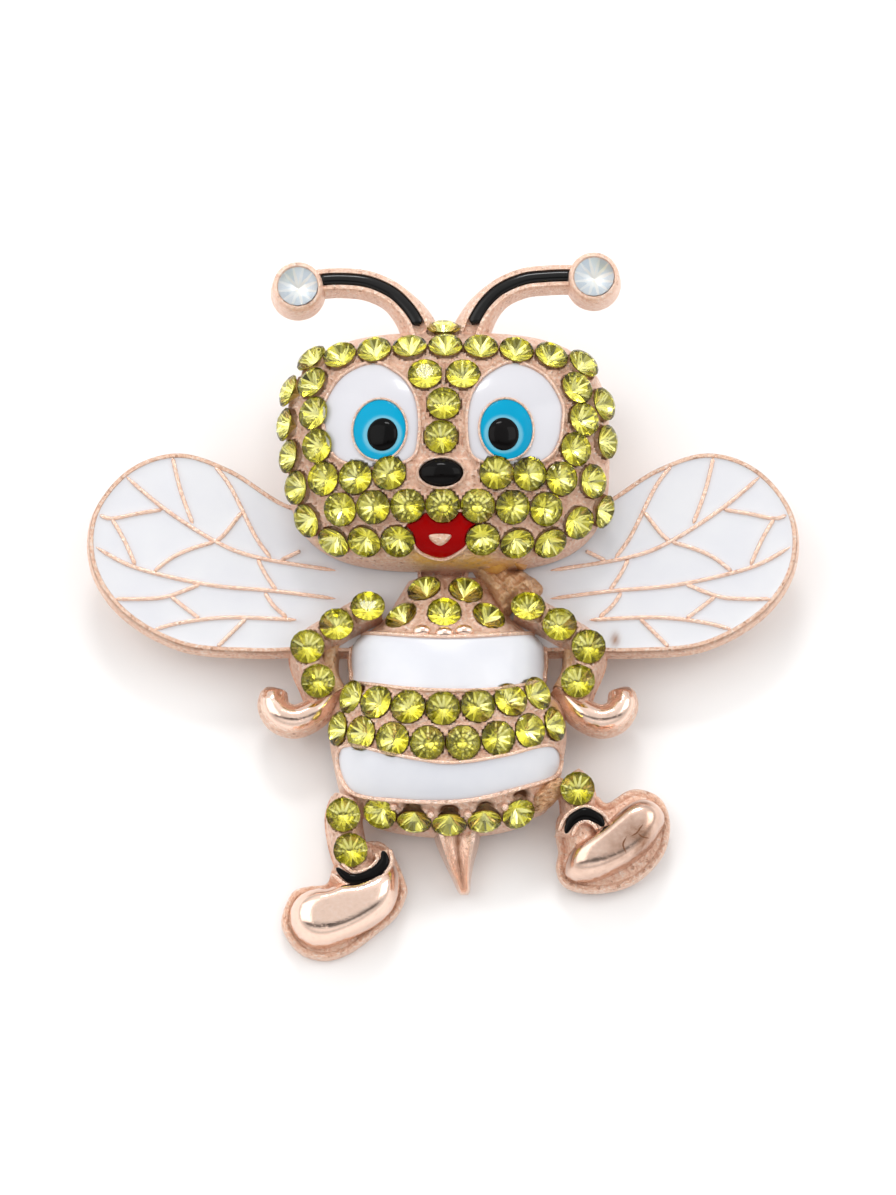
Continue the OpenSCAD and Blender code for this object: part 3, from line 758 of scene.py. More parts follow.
@dataclass(frozen=True)
class StoneFoil(Finish):
    """The mirror foil behind a stone, its facets painted light and dark by turns as reflections."""

    light: tuple = (1.0, 0.97, 0.50, 1)
    middle: tuple = (0.95, 0.89, 0.22, 1)
    dark: tuple = (0.32, 0.29, 0.02, 1)
    middle_at: float = 0.45
    rough: float = 0.14
    metal_share: float = 1.0
    cloud_share: float = 0.25
    heart_highlight: float = 0.0

    def wire(self, w: Wiring, surface: bpy.types.Node) -> None:
        """Wires the foil.

        Args:
            w: The material's tree.
            surface: Its surface shader.
        """
        ramp = w.add("ShaderNodeValToRGB", Fac=w.mark("facet"))
        ramp.color_ramp.elements[0].color = self.dark
        ramp.color_ramp.elements[1].color = self.light
        ramp.color_ramp.elements.new(self.middle_at).color = self.middle
        cloud = self.effect(w, SharedEffect.CLOUD, Colour=ramp.outputs["Color"], Shade=self.middle,
                            Size=0.0004)
        colour = w.mix(self.cloud_share, ramp.outputs["Color"], cloud.outputs["Colour"])
        # Painted highlight: the middle of the stone, marked by tint at its tip, turns toward the light
        # tone.
        heart_highlight = w.sum("MULTIPLY_ADD", w.mark("tint"), 5.0, -1.8, clamp=True)
        w.feed(surface, "Base Color", w.mix(w.sum("MULTIPLY", heart_highlight, self.heart_highlight), colour, self.light))
        surface.inputs["Metallic"].default_value = self.metal_share
        surface.inputs["Roughness"].default_value = self.rough


@dataclass(frozen=True)
class StoneGlass(Finish):
    """Clear coloured glass of a stone's crown."""

    colour: tuple = (0.985, 0.99, 0.82, 1)
    deep: float = 0.93
    bend: float = 1.3

    def wire(self, w: Wiring, surface: bpy.types.Node) -> None:
        """Wires the glass.

        Args:
            w: The material's tree.
            surface: Its surface shader.
        """
        shade = tuple(c * self.deep for c in self.colour[:3]) + (1,)
        cloud = self.effect(w, SharedEffect.CLOUD, Colour=self.colour, Shade=shade, Size=0.002)
        w.feed(surface, "Base Color", cloud.outputs["Colour"])
        surface.inputs["Transmission Weight"].default_value = 1.0
        surface.inputs["Roughness"].default_value = 0.0
        surface.inputs["IOR"].default_value = self.bend


@dataclass(frozen=True)
class Paper(Finish):
    """The pale paper that the brooch lies on."""

    colour: tuple = (0.965, 0.957, 0.953, 1)

    def wire(self, w: Wiring, surface: bpy.types.Node) -> None:
        """Wires the paper.

        Args:
            w: The material's tree.
            surface: Its surface shader.
        """
        surface.inputs["Base Color"].default_value = self.colour
        surface.inputs["Roughness"].default_value = 0.85
        surface.inputs["Specular IOR Level"].default_value = 0.1


ROSE = PlatedGold("rose_gold_plate")
STEEL = PlatedGold("pin_steel", colour=(0.80, 0.74, 0.68, 1), grainy=(0.78, 0.71, 0.65, 1),
                   shade=(0.62, 0.55, 0.48, 1), painted_glint=(0.86, 0.82, 0.77, 1), matte=0.34, metal_share=0.9)
WHITE = Enamel("fired_white")
# A darker copy of the white enamel for the eyes: painted shade.
EYE_WHITE_SHADED = Enamel("fired_eye_white_shaded", colour=(0.625, 0.62, 0.655, 1), shade=(0.59, 0.59, 0.63, 1))
# Its pinkish speck colour is painted shade near the wing's veins.
PEARL = Enamel("fired_pearl", colour=(0.735, 0.74, 0.765, 1), shade=(0.69, 0.695, 0.735, 1),
               speck_and_shade=(0.62, 0.42, 0.36, 1))
BLUE = Enamel("fired_turquoise", colour=(0.002, 0.34, 0.56, 1), shade=(0.002, 0.29, 0.49, 1),
              tinted=(0.25, 0.56, 0.66, 1), rough=0.18, gloss=0.1)
BLACK_LINE = Enamel("fired_black_line", colour=(0.003, 0.003, 0.003, 1), shade=(0.008, 0.007, 0.007, 1),
                    speck_and_shade=(0.03, 0.02, 0.02, 1), rough=0.14, gloss=0.4)
BLACK = Enamel("fired_black", colour=(0.002, 0.002, 0.002, 1), shade=(0.005, 0.004, 0.004, 1),
               speck_and_shade=(0.02, 0.012, 0.01, 1), rough=0.1, gloss=0.12)
RED = Enamel("fired_red", colour=(0.34, 0.001, 0.001, 1), shade=(0.29, 0.001, 0.001, 1), rough=0.14,
             gloss=0.07)
GLUE = Enamel("amber_glue", colour=(0.52, 0.20, 0.04, 1), shade=(0.75, 0.42, 0.08, 1), rough=0.15)
CITRINE_FOIL = StoneFoil("citrine_foil")
CITRINE_GLASS = StoneGlass("citrine_glass")
CRYSTAL_FOIL = StoneFoil("crystal_foil", light=(1.0, 0.985, 0.93, 1), middle=(0.94, 0.98, 1.0, 1),
                         dark=(0.72, 0.80, 0.87, 1), rough=0.3, metal_share=0.85, heart_highlight=1.0)
CRYSTAL_GLASS = StoneGlass("crystal_glass", colour=(1.0, 1.0, 1.0, 1), bend=1.2)


def bring(name: str, form: Form, finishes: Sequence[Finish], nodes: Sequence[str],
          crease: float = 38.0) -> bpy.types.Object:
    """Finishes a form as a piece of the brooch.

    Args:
        name: The piece's name.
        form: Its shape in the flat drawing.
        finishes: Its finishes in order.
        nodes: The solids that it stands for.
        crease: Edges sharper than this many degrees stay sharp.

    Returns:
        The piece.
    """
    bm = form.bm
    loose = [v for v in bm.verts if not v.link_faces]
    bmesh.ops.delete(bm, geom=loose, context="VERTS")
    bmesh.ops.dissolve_degenerate(bm, dist=1e-5, edges=bm.edges)
    bmesh.ops.recalc_face_normals(bm, faces=bm.faces)
    bm.transform(LIE.matrix())
    for f in bm.faces:
        f.smooth = True
    mesh = mesh_of(name, bm)
    mesh.set_sharp_from_angle(angle=math.radians(crease))
    for finish in finishes:
        mesh.materials.append(finish.material())
    piece = put(name, mesh)
    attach(piece, "root")
    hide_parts(*nodes)
    log.info("%s: %d faces", name, len(mesh.polygons))
    return piece


# The domes and what is sunk into them


def arch(v: Points, k: float) -> Points:
    """Height of a superellipse over its middle."""
    return np.power(np.maximum(0, 1 - np.power(np.abs(v), k)), 1 / k)


@dataclass(frozen=True)
class Dome:
    """A cast dome: its middle, half sizes and the fullness of its section."""

    centre: tuple[float, float, float]
    half: tuple[float, float, float]
    section: float

    SIDES, TOP, CHIN = 3.2, 2.0, 3.6

    def width(self, t: Points) -> Points:
        """Width share at a place along it."""
        return arch(t, self.SIDES)

    def rise(self, t: Points) -> Points:
        """Height share at a place along it."""
        return np.where(t > 0, arch(t, self.TOP), arch(t, self.CHIN))

    def point(self, t: Points, turn: Points, wall: float = 0.0) -> Points:
        """Points of the dome.

        Args:
            t: Places along it from -1 to 1, in a column.
            turn: Angles across it from 0 to pi, in a row.
            wall: How far inside the surface.

        Returns:
            The points.
        """
        hx, hy, hz = (h - wall for h in self.half)
        c, s = np.cos(turn), np.sin(turn)
        k = 2 / self.section
        x = self.centre[0] + hx * self.width(t) * np.sign(c) * np.abs(c) ** k
        z = self.centre[2] + hz * self.rise(t) * np.abs(s) ** k
        return np.stack([x, self.centre[1] + hy * t + 0 * x, z], axis=-1)

    def over(self, xy: Points, drop: float = 0.0) -> Points:
        """The dome's surface over places in the flat.

        Args:
            xy: The places.
            drop: How far below the surface.

        Returns:
            The points.
        """
        xy = np.asarray(xy, float)
        t = np.clip((xy[..., 1] - self.centre[1]) / self.half[1], -1, 1)
        u = (xy[..., 0] - self.centre[0]) / (self.half[0] * self.width(t) + 1e-3)
        z = self.centre[2] + self.half[2] * self.rise(t) * arch(np.minimum(1, np.abs(u)), self.section)
        return np.concatenate([xy[..., :2], (z - drop)[..., None]], axis=-1)

    def facing(self, xy: Points, e: float = 0.05) -> Points:
        """The direction that the dome faces over places in the flat.

        Args:
            xy: The places.
            e: The reach of the measurement.

        Returns:
            Directions of length one.
        """
        xy = np.asarray(xy, float)[..., :2]
        dx, dy = np.array([e, 0]), np.array([0, e])
        slope = [self.over(xy - d)[..., 2] - self.over(xy + d)[..., 2] for d in (dx, dy)]
        return unit(np.stack([slope[0], slope[1], np.full(slope[0].shape, 2 * e)], axis=-1))


@dataclass(frozen=True)
class BodyDome(Dome):
    """The body, whose sections follow a table from the hem to the neck."""

    TABLE = np.array([[-1, 0.6, 0.36], [-0.9, 0.74, 0.6], [-0.7, 0.89, 0.84], [-0.45, 0.96, 0.96],
                      [-0.2, 1, 1], [0.02, 0.96, 0.98], [0.12, 0.86, 0.965], [0.25, 0.82, 0.94],
                      [0.36, 0.82, 0.9], [0.5, 0.8, 0.83], [0.7, 0.56, 0.69], [0.85, 0.46, 0.56],
                      [1, 0.38, 0.42]])

    def _column(self, t: Points, column: int) -> Points:
        """A smooth reading of the table."""
        fine = smooth_curve(self.TABLE, 10)
        return np.interp(t, fine[:, 0], fine[:, column])

    def width(self, t: Points) -> Points:
        """Width share at a place along it."""
        return self._column(t, 1)

    def rise(self, t: Points) -> Points:
        """Height share at a place along it."""
        return self._column(t, 2)


HEAD = Dome((0.4, 10.55, 1.75), (11.6, 8.85, 6.2), 2.2)
TORSO = BodyDome((0.35, -7.6, 0.0), (8.5, 9.1, 6.5), 2.3)


@dataclass(frozen=True)
class Seat:
    """Where a stone sits: the middle of its girdle and the way its table faces."""

    place: tuple[float, float, float]
    facing: tuple[float, float, float]

    def beside(self, out: float) -> Points:
        """Finds a place beside the stone, on the side towards the head.

        Args:
            out: How far from the stone's middle.

        Returns:
            The place.
        """
        axis = np.array(self.facing)
        up = unit(np.array([0, 1.0, 0]) - axis[1] * axis)
        return np.array(self.place) + up * out


@dataclass
class Sinkings:
    """Everything that is pressed into a surface."""

    seats: list[Seat] = field(default_factory=list)
    fields: list[Points] = field(default_factory=list)
    notched: list[Seat] = field(default_factory=list)
    stone_r: float = 1.16
    seat_deep: float = 0.95
    field_deep: float = 0.3
    between: float = 0.16
    lip: float = 0.05
    notch_at: float = 1.28
    notch_deep: float = 0.75

    def press(self, rows: Points, facing: Points) -> tuple[Points, Points]:
        """Presses the sinkings into rows of points.

        Args:
            rows: The points.
            facing: The direction away from the metal at each point.

        Returns:
            The pressed points, and the hollow mark of each.
        """
        p, n = rows.reshape(-1, 3).copy(), facing.reshape(-1, 3)
        hollow = np.zeros(len(p))
        self._sink_fields(p, n, hollow)
        if self.seats:
            self._sink_between(p, n)
        self._sink_seats(p, hollow)
        self._notch(p, n, hollow)
        return p.reshape(rows.shape), hollow.reshape(rows.shape[:2])

    def _sink_fields(self, p: Points, n: Points, hollow: Points) -> None:
        """Lowers the enamel fields, with painted shade along their edges.

        Args:
            p: The points, which move.
            n: The direction away from the metal at each point.
            hollow: The hollow marks, which change.
        """
        for outline in self.fields:
            low, high = outline.min(0) - 1, outline.max(0) + 1
            near = np.all((p[:, :2] > low) & (p[:, :2] < high), axis=1) & (n[:, 2] > 0.05)
            d = inside_by(outline, p[near, :2])
            p[near] -= n[near] * (self.field_deep * step(-0.02, 0.1, d))[:, None]
            # Painted shade along the field's edge.
            hollow[near] = np.maximum(hollow[near], 0.5 * hump(d, -0.12, 0.14))

    def _sink_between(self, p: Points, n: Points) -> None:
        """Lowers the metal between the stones, but not beside an enamel field.

        Args:
            p: The points, which move.
            n: The direction away from the metal at each point.
        """
        nearest = np.full(len(p), FAR)
        for seat in self.seats:
            nearest = np.minimum(nearest, np.linalg.norm(p - np.array(seat.place), axis=1))
        by_field = np.zeros(len(p))
        for outline in self.fields:
            near = np.linalg.norm(p[:, :2] - outline.mean(0), axis=1) < 10
            close = step(-0.45, -0.1, inside_by(outline, p[near, :2]))
            by_field[near] = np.maximum(by_field[near], close)
        away = step(1.02 * self.stone_r, 1.3 * self.stone_r, nearest)
        p -= n * (self.between * away * (1 - by_field))[:, None]

    def _sink_seats(self, p: Points, hollow: Points) -> None:
        """Sinks a flat seat with a raised lip under each stone, with painted shade in rings round it.

        Args:
            p: The points, which move.
            hollow: The hollow marks, which change.
        """
        r = self.stone_r
        for seat in self.seats:
            axis = np.array(seat.facing)
            d = p - np.array(seat.place)
            up = d @ axis
            out = np.linalg.norm(d - up[:, None] * axis, axis=1)
            near = (out < 1.5 * r) & (np.abs(up) < 1.7)
            sink = step(1.03 * r, 0.93 * r, out) * near
            p -= axis * (sink * np.maximum(0, up + self.seat_deep))[:, None]
            lip = hump(out, 1.12 * r, 0.11) * near * (np.abs(up) < 0.9)
            p += axis * (self.lip * lip)[:, None]
            # Painted shade in rings round each stone.
            for at, wide, strength in ((0.99, 0.09, 0.9), (1.3, 0.16, 0.4)):
                np.maximum(hollow, strength * hump(out, at * r, wide) * near, out=hollow)

    def _notch(self, p: Points, n: Points, hollow: Points) -> None:
        """Cuts a notch above each stone of the hem and darkens it with painted shadow.

        Args:
            p: The points, which move.
            n: The direction away from the metal at each point.
            hollow: The hollow marks, which change.
        """
        for seat in self.notched:
            off = p - seat.beside(self.notch_at)
            off[:, 0] *= 0.72
            d = np.linalg.norm(off, axis=1)
            p -= n * (self.notch_deep * hump(d, 0, 0.5, 4))[:, None]
            # Painted shadow in the notch.
            np.maximum(hollow, 3.2 * hump(d, 0, 0.52, 4), out=hollow)


def facing_of(rows: Points, closed: bool, outwards: Points) -> Points:
    """The direction that each point of a sheet faces.

    Args:
        rows: The sheet's rows of points.
        closed: Whether each row closes on itself.
        outwards: A direction that the sheet mostly faces.

    Returns:
        Directions of length one.
    """
    along = np.gradient(rows, axis=0)
    if closed:
        across = np.roll(rows, -1, axis=1) - np.roll(rows, 1, axis=1)
    else:
        across = np.gradient(rows, axis=1)
    n = unit(np.cross(across, along))
    return n if np.sum(n @ outwards) > 0 else -n


def spots(rows: Points, table: Table) -> Points:
    """Fades spots into a sheet.

    Args:
        rows: The sheet's rows of points.
        table: Rows of a spot's place, its reach and its strength.

    Returns:
        How strong the spots are at each point.
    """
    out = np.zeros(rows.shape[:2])
    x, y, z = rows[..., 0], rows[..., 1], rows[..., 2]
    wave = 0.75 + 0.25 * np.sin(7.3 * x + 2.1) * np.sin(6.1 * y + 5.3 * z)
    for *place, reach, strength in table:
        d = np.linalg.norm(rows - np.array(place), axis=-1)
        out = np.maximum(out, strength * wave * hump(d, 0, reach, 4))
    return out


def cast(form: Form, outer: Points, inside: Points, sinks: Sinkings, polish: tuple[float, float],
         stains: Table) -> None:
    """Closes a dome and the hollow behind it into a casting.

    Args:
        form: The metal.
        outer: The dome's rows of points.
        inside: The rows of the hollow behind it.
        sinks: What is pressed into the dome.
        polish: The polish of the dome and of the hollow.
        stains: Rows of a stain's place, reach and strength.
    """
    outer, hollow = sinks.press(outer, facing_of(outer, False, UP))
    rows = np.concatenate([outer, inside], axis=1)
    back = np.ones(inside.shape[:2])
    # The inside of the casting gets a little painted shade.
    form.skin(rows, hollow=np.concatenate([hollow, 0.15 * back], axis=1), tint=spots(rows, stains),
              polish=np.concatenate([np.full(hollow.shape, polish[0]), polish[1] * back], axis=1))


def uneven(v: bmesh.types.BMVert, edges: int = 8) -> float:
    """How much a corner's edges differ in length: hardly at all at a stone's tip."""
    lengths = [e.calc_length() for e in v.link_edges]
    return max(lengths) - min(lengths) if len(lengths) == edges else FAR


def seats_of(node: str) -> list[Seat]:
    """Reads where the stones of a node sit.

    Args:
        node: The solids of the stones.

    Returns:
        A seat for each stone, in the flat drawing.
    """
    bm = bmesh.new()
    bm.from_mesh(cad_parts[node].data)
    bmesh.ops.remove_doubles(bm, verts=bm.verts, dist=2e-6)
    bm.transform(LIE.matrix().inverted())
    seats, seen = [], set()
    for start in bm.verts:
        if start in seen:
            continue
        stone = island([start])
        seen.update(stone)
        tip = min(stone, key=uneven)
        girdle = [e.other_vert(tip).co for e in tip.link_edges]
        middle = sum(girdle, Vector()) / len(girdle)
        seats.append(Seat(tuple(middle), tuple((middle - tip.co).normalized())))
    bm.free()
    return seats


def ring_shares(rings: int, spacing: float = 0.85) -> Points:
    """How far out each ring of a patch lies, from its middle to its edge."""
    return np.linspace(0, 1, rings + 1) ** spacing


def dome_up(rows: Points, rings: int, height: float, power: float = 2.0) -> None:
    """Raises the rings of a patch into a dome, fuller for a higher power."""
    rows[:rings + 1, :, 2] += height * np.sqrt(1 - ring_shares(rings) ** power)[:, None]


def patch(outline: Points, rings: int, surface: Callable[[Points], Points], crown: float,
          centre: tuple[float, float] | None = None, skirt: float = 0.3,
          seats: Sequence[Seat] = ()) -> tuple[Points, Points]:
    """Fills an outline with a gently crowned patch of enamel.

    Args:
        outline: The patch's edge in the flat.
        rings: How many rings go from the middle to the edge.
        surface: Gives the height under places in the flat.
        crown: How far the middle stands proud.
        centre: The place that the rings shrink to.
        skirt: How far the edge goes down into the metal.
        seats: Stones that lie partly over it.

    Returns:
        The rows of points, and the share of the way to the edge for each point.
    """
    c = np.array(centre) if centre is not None else outline.mean(0)
    s = ring_shares(rings)
    xy = c + s[:, None, None] * (outline - c)
    rows = surface(xy)
    rows[..., 2] += crown * np.sqrt(np.maximum(0, 1 - s ** 6))[:, None] - crown * 0.5
    if seats:
        rows, _ = Sinkings(list(seats), between=0.0).press(rows, np.broadcast_to(UP, rows.shape))
    low = rows[-1:].copy()
    low[..., 2] -= skirt
    closing = surface(c[None, None, :]).repeat(rows.shape[1], axis=1)
    closing[..., 2] -= skirt + 0.1
    inner = 0.5 * low + 0.5 * closing
    inner[..., 2] = np.minimum(inner[..., 2], surface(inner[..., :2])[..., 2] - skirt)
    rows = np.concatenate([rows, low, inner, closing])
    marks = np.concatenate([s, [1, 1, 1]])[:, None].repeat(rows.shape[1], axis=1)
    return rows, marks


# Stones


@dataclass
class Stones:
    """A field of round cut stones with foil backs."""

    node: str
    foil: StoneFoil
    glass: StoneGlass
    slot: str
    diameter: float = 2.42
    table_at: float = 0.32
    crown_sides: int = 8
    crown_tilts: tuple[float, float, float] = (38.0, 24.0, 42.5)
    petals: int = 12
    back_tilts: tuple[float, float] = (35.0, 36.5)
    reflection_tones: tuple[float, float] = (0.8, 0.12)
    reflection_play: tuple[float, float] = (-0.3, 0.2)
    wobble: float = 4.0
    seed: int = 11

    def cut(self) -> bmesh.types.BMesh:
        """Grinds one stone from a blank.

        Returns:
            The stone with its table up, its girdle at z = 0.
        """
        r = self.diameter / 2
        bm = bmesh.new()
        bmesh.ops.create_cone(bm, cap_ends=True, segments=16, radius1=r, radius2=r, depth=2.4 * r)
        planes = [(0, 0, 1, self.table_at * r)]
        kite, star, girdle = self.crown_tilts
        part = 360 / self.crown_sides
        for k in range(self.crown_sides):
            main, half = math.radians(part * k), math.radians(part * k + part / 2)
            planes.append(self._plane(main, kite, r, 0.03))
            planes.append(self._plane(half, star, r * 0.74, 0.2 * r))
            for side in (-1, 1):
                planes.append(self._plane(half + side * math.radians(part / 4), girdle, r * 0.985, 0.035))
        for k in range(self.petals):
            turn = math.radians(360 / self.petals * k)
            between = turn + math.pi / self.petals
            planes.append(self._plane(turn, 180 - self.back_tilts[0], r, -0.05))
            planes.append(self._plane(between, 180 - self.back_tilts[1], r * 0.99, -0.035))
        for x, y, z, d in planes:
            n = Vector((x, y, z))
            cut = bmesh.ops.bisect_plane(bm, geom=bm.verts[:] + bm.edges[:] + bm.faces[:],
                                         plane_co=n * d, plane_no=n, clear_outer=True, dist=1e-5)
            edges = [g for g in cut["geom_cut"] if isinstance(g, bmesh.types.BMEdge)]
            if len(edges) > 2:
                bmesh.ops.contextual_create(bm, geom=edges)
        bmesh.ops.recalc_face_normals(bm, faces=bm.faces)
        return bm

    @staticmethod
    def _plane(turn: float, tilt: float, r: float, z: float) -> tuple[float, float, float, float]:
        """A grinding plane.

        Args:
            turn: Its direction round the stone.
            tilt: Its tilt from the table in degrees.
            r: Radius of a point on it.
            z: Height of that point.

        Returns:
            The plane's direction and its distance.
        """
        a = math.radians(tilt)
        n = (math.sin(a) * math.cos(turn), math.sin(a) * math.sin(turn), math.cos(a))
        return (*n, n[0] * r * math.cos(turn) + n[1] * r * math.sin(turn) + n[2] * z)

    def build(self) -> list[Seat]:
        """Sets a stone in every seat of its node.

        Returns:
            The seats.
        """
        seats = seats_of(self.node)
        rng = random.Random(self.seed)
        source = mesh_of("stone_blank", self.cut())
        form = Form()
        for seat in seats:
            before = len(form.bm.faces)
            form.bm.from_mesh(source)
            form.bm.faces.ensure_lookup_table()
            faces = form.bm.faces[before:]
            verts = list({v for f in faces for v in f.verts})
            tip = min(v.co.z for v in verts)
            # The tip is marked for the painted highlight in the foil's middle.
            for v in verts:
                v[form.bm.verts.layers.float["tint"]] = 1.0 if v.co.z < 0.9 * tip else 0.0
            for f in faces:
                n = f.normal
                number = round(math.degrees(math.atan2(n.y, n.x)) * self.petals / 180)
                f.material_index = 1 if n.z < 0.05 else 0
                # Upright girdle faces take the darkest tone as painted shade; the other foil facets take
                # light and dark tones by turns as painted reflections.
                if abs(n.z) < 0.05:
                    f[form.facet] = 0.0
                else:
                    tone = self.reflection_tones[number % 2] + rng.uniform(*self.reflection_play)
                    f[form.facet] = min(1, max(0, tone))
            wobble = Matrix.Rotation(math.radians(rng.uniform(-self.wobble, self.wobble)), 4, "X")
            spin = rng.uniform(0, math.pi / 4)
            bmesh.ops.transform(form.bm, verts=verts,
                                matrix=standing(seat.place, seat.facing, spin) @ wobble)
        bpy.data.meshes.remove(source)
        piece = bring(self.node + "_cut", form, (self.glass, self.foil), (self.node,),
                      crease=1.0)
        for polygon in piece.data.polygons:
            polygon.use_smooth = False
        return seats


# The head


@dataclass
class Head:
    """The hollow head with its eyes, nose, mouth and antennae."""

    seats: list[Seat]
    wall: float = 1.5
    eye: tuple[float, float] = (3.35, 3.9)
    eye_at: tuple[float, float] = (5.0, 12.2)
    iris: tuple[float, float] = (1.83, 2.16)
    iris_at: tuple[float, float] = (4.43, 11.02)
    pupil_r: float = 1.15
    pupil_at: tuple[float, float] = (4.23, 10.64)
    nose_at: tuple[float, float] = (-0.13, 7.84)
    nose: tuple[float, float] = (1.55, 1.0)
    mouth: float = 2.85
    mouth_at: tuple[float, float] = (0.0, 4.3)
    mouth_middle: tuple[float, float] = (0.0, 3.35)
    under_eyes: float = 9.8

    EYE = [[-0.01, 1], [0.61, 0.775], [0.98, 0.275], [1, -0.12], [0.9, -0.54], [0.61, -0.84],
           [-0.02, -1], [-0.81, -0.85], [-0.98, -0.4], [-0.95, 0.15], [-0.78, 0.53], [-0.48, 0.81]]
    MOUTH = [[-0.95, -0.07], [-0.77, -0.34], [-0.53, -0.62], [0, -0.74], [0.5, -0.54], [0.7, -0.25],
             [1.0, 0.1], [0.7, 0.27], [0.3, 0.3], [-0.3, 0.3], [-0.65, 0.2]]
    GLUED = [[-1.0, 2.1, 5.4, 1.4, 1.0], [0.6, 2.0, 4.6, 1.0, 0.8], [2.4, 2.0, 4.2, 1.5, 0.95],
             [4.2, 2.1, 3.6, 1.1, 0.8], [-8.6, 4.0, 3.0, 0.5, 0.4]]
    TONGUE = [[-0.35, -0.25], [-0.07, -0.22], [0.21, -0.25], [0.12, -0.4], [-0.07, -0.49], [-0.27, -0.4]]

    def eye_edge(self, left: bool) -> Points:
        """Edge of an eye's white."""
        ring = smooth_curve(share(self.EYE, self.eye, self.eye_at), 8, closed=True)
        return mirrored(ring) if left else ring

    def oval(self, at: tuple[float, float], size: tuple[float, float], left: bool = False,
             grow: float = 0.0) -> Points:
        """An oval on the face.

        Args:
            at: Its middle on the right side.
            size: Its half sizes.
            left: Whether it lies on the left side.
            grow: How far outside its line.

        Returns:
            The oval's points.
        """
        a = np.linspace(0, 2 * np.pi, 64, endpoint=False)
        ring = np.stack([at[0] + (size[0] + grow) * np.cos(a), at[1] + (size[1] + grow) * np.sin(a)],
                        axis=1)
        return mirrored(ring) if left else ring

    def mouth_edge(self, table: Table, steps: int) -> Points:
        """Edge of the mouth or the tongue."""
        return smooth_curve(share(table, (self.mouth, self.mouth), self.mouth_at), steps, closed=True)

    def shell(self, form: Form) -> None:
        """Builds the hollow dome with everything sunk into it.

        Args:
            form: The metal.
        """
        along, across, inner = 168, 196, 40
        t = np.sin(np.linspace(-np.pi / 2, np.pi / 2, along + 1))[:, None]
        turn = np.linspace(0, np.pi, across + 1)[None]
        back = np.linspace(np.pi, 0, inner + 1)[None]
        fields = [self.eye_edge(True), self.eye_edge(False), self.mouth_edge(self.MOUTH, 8),
                  self.oval(self.nose_at, self.nose)]
        cast(form, HEAD.point(t, turn), HEAD.point(t, back, self.wall),
             Sinkings(self.seats, fields, between=0.26), (0.25, 0.0), self.GLUED)

    def rim(self, form: Form, ring: Points, width: float, height: float, lift: float = 0.0) -> None:
        """Lays a thin raised rim on the face.

        Args:
            form: The metal.
            ring: The rim's line.
            width: Its width.
            height: Its height.
            lift: How far it stands off the face.
        """
        ring = even(ring, len(ring), closed=True)
        facing = HEAD.facing(ring)
        laid = HEAD.over(ring) + facing * lift
        path, _ = Sinkings(self.seats, between=0.0).press(laid[None], facing[None])
        form.wire(path[0], width, height, facing, closed=True, polish=0.3, hollow=0.0)

    def build(self) -> None:
        """Builds the head and everything on it."""
        form = Form()
        self.shell(form)
        for left in (True, False):
            self.rim(form, offset(self.eye_edge(left), 0.06), 0.24, 0.30, -0.02)
            self.rim(form, self.oval(self.iris_at, self.iris, left, 0.08), 0.17, 0.26)
            Antenna(left).metal(form)
        mouth = self.mouth_edge(self.MOUTH, 8)
        self.rim(form, offset(mouth, 0.05), 0.20, 0.26)
        self.rim(form, self.oval(self.nose_at, self.nose, grow=0.1), 0.22, 0.34, 0.02)
        tongue, _ = patch(self.mouth_edge(self.TONGUE, 6), 6, lambda xy: HEAD.over(xy, -0.02), 0.22)
        form.skin(tongue, polish=0.2)
        bring("head_metal", form, (ROSE,), ("head_casting",))
        for left in (True, False):
            self.eye_pieces(left)
            Antenna(left).enamel()
        self.button("nose_enamel", self.oval(self.nose_at, self.nose), 0.1, 0.62, 2.0, "nose")
        rows, edge = patch(mouth, 16, lambda xy: HEAD.over(xy, 0.09), 0.08, self.mouth_middle,
                           seats=self.seats)
        # Painted shade darkens the red towards its rim.
        red = Form().skin(rows, hollow=step(0.9, 1.0, edge) * 0.6)
        bring("mouth_red", red, (RED,), ("mouth_enamel",))

    def button(self, name: str, ring: Points, drop: float, height: float, power: float,
               node: str) -> None:
        """Builds a black domed button on the face.

        Args:
            name: The piece's name.
            ring: Its edge.
            drop: How deep in the face its edge lies.
            height: How far its middle rises.
            power: How full it is.
            node: The solid that it stands for.
        """
        rings = 12
        rows, _ = patch(ring, rings, lambda xy: HEAD.over(xy, drop), 0.0)
        dome_up(rows, rings, height, power)
        bring(name, Form().skin(rows), (BLACK,), (node,))

    def eye_pieces(self, left: bool) -> None:
        """Builds the white, the iris and the pupil of an eye.

        Args:
            left: Whether it is the left eye.
        """
        side = "left" if left else "right"
        low = [s for s in self.seats if s.place[1] < self.under_eyes]
        rows, edge = patch(self.eye_edge(left), 26, lambda xy: HEAD.over(xy, 0.1), 0.1, seats=low)
        # Painted shade darkens the white towards its rim.
        white = Form().skin(rows, hollow=step(0.93, 1.0, edge) * 0.5)
        bring(f"{side}_eye_enamel", white, (EYE_WHITE_SHADED,), (f"{side}_eye_white",))
        rows, _ = patch(self.oval(self.iris_at, self.iris, left), 18,
                        lambda xy: HEAD.over(xy, -0.02), 0.06, seats=self.seats)
        pupil_at = (-self.pupil_at[0] if left else self.pupil_at[0], self.pupil_at[1])
        reach = np.linalg.norm(rows[..., :2] - np.array(pupil_at), axis=-1)
        iris = Form().skin(rows, tint=step(self.pupil_r + 0.3, self.pupil_r + 0.1, reach) * 0.6)
        bring(f"{side}_iris_enamel", iris, (BLUE,), (f"{side}_iris",))
        ring = self.oval(self.pupil_at, (self.pupil_r * 0.96, self.pupil_r * 1.06), left)
        self.button(f"{side}_pupil_enamel", ring, 0.02, 0.42, 2.2, f"{side}_pupil")


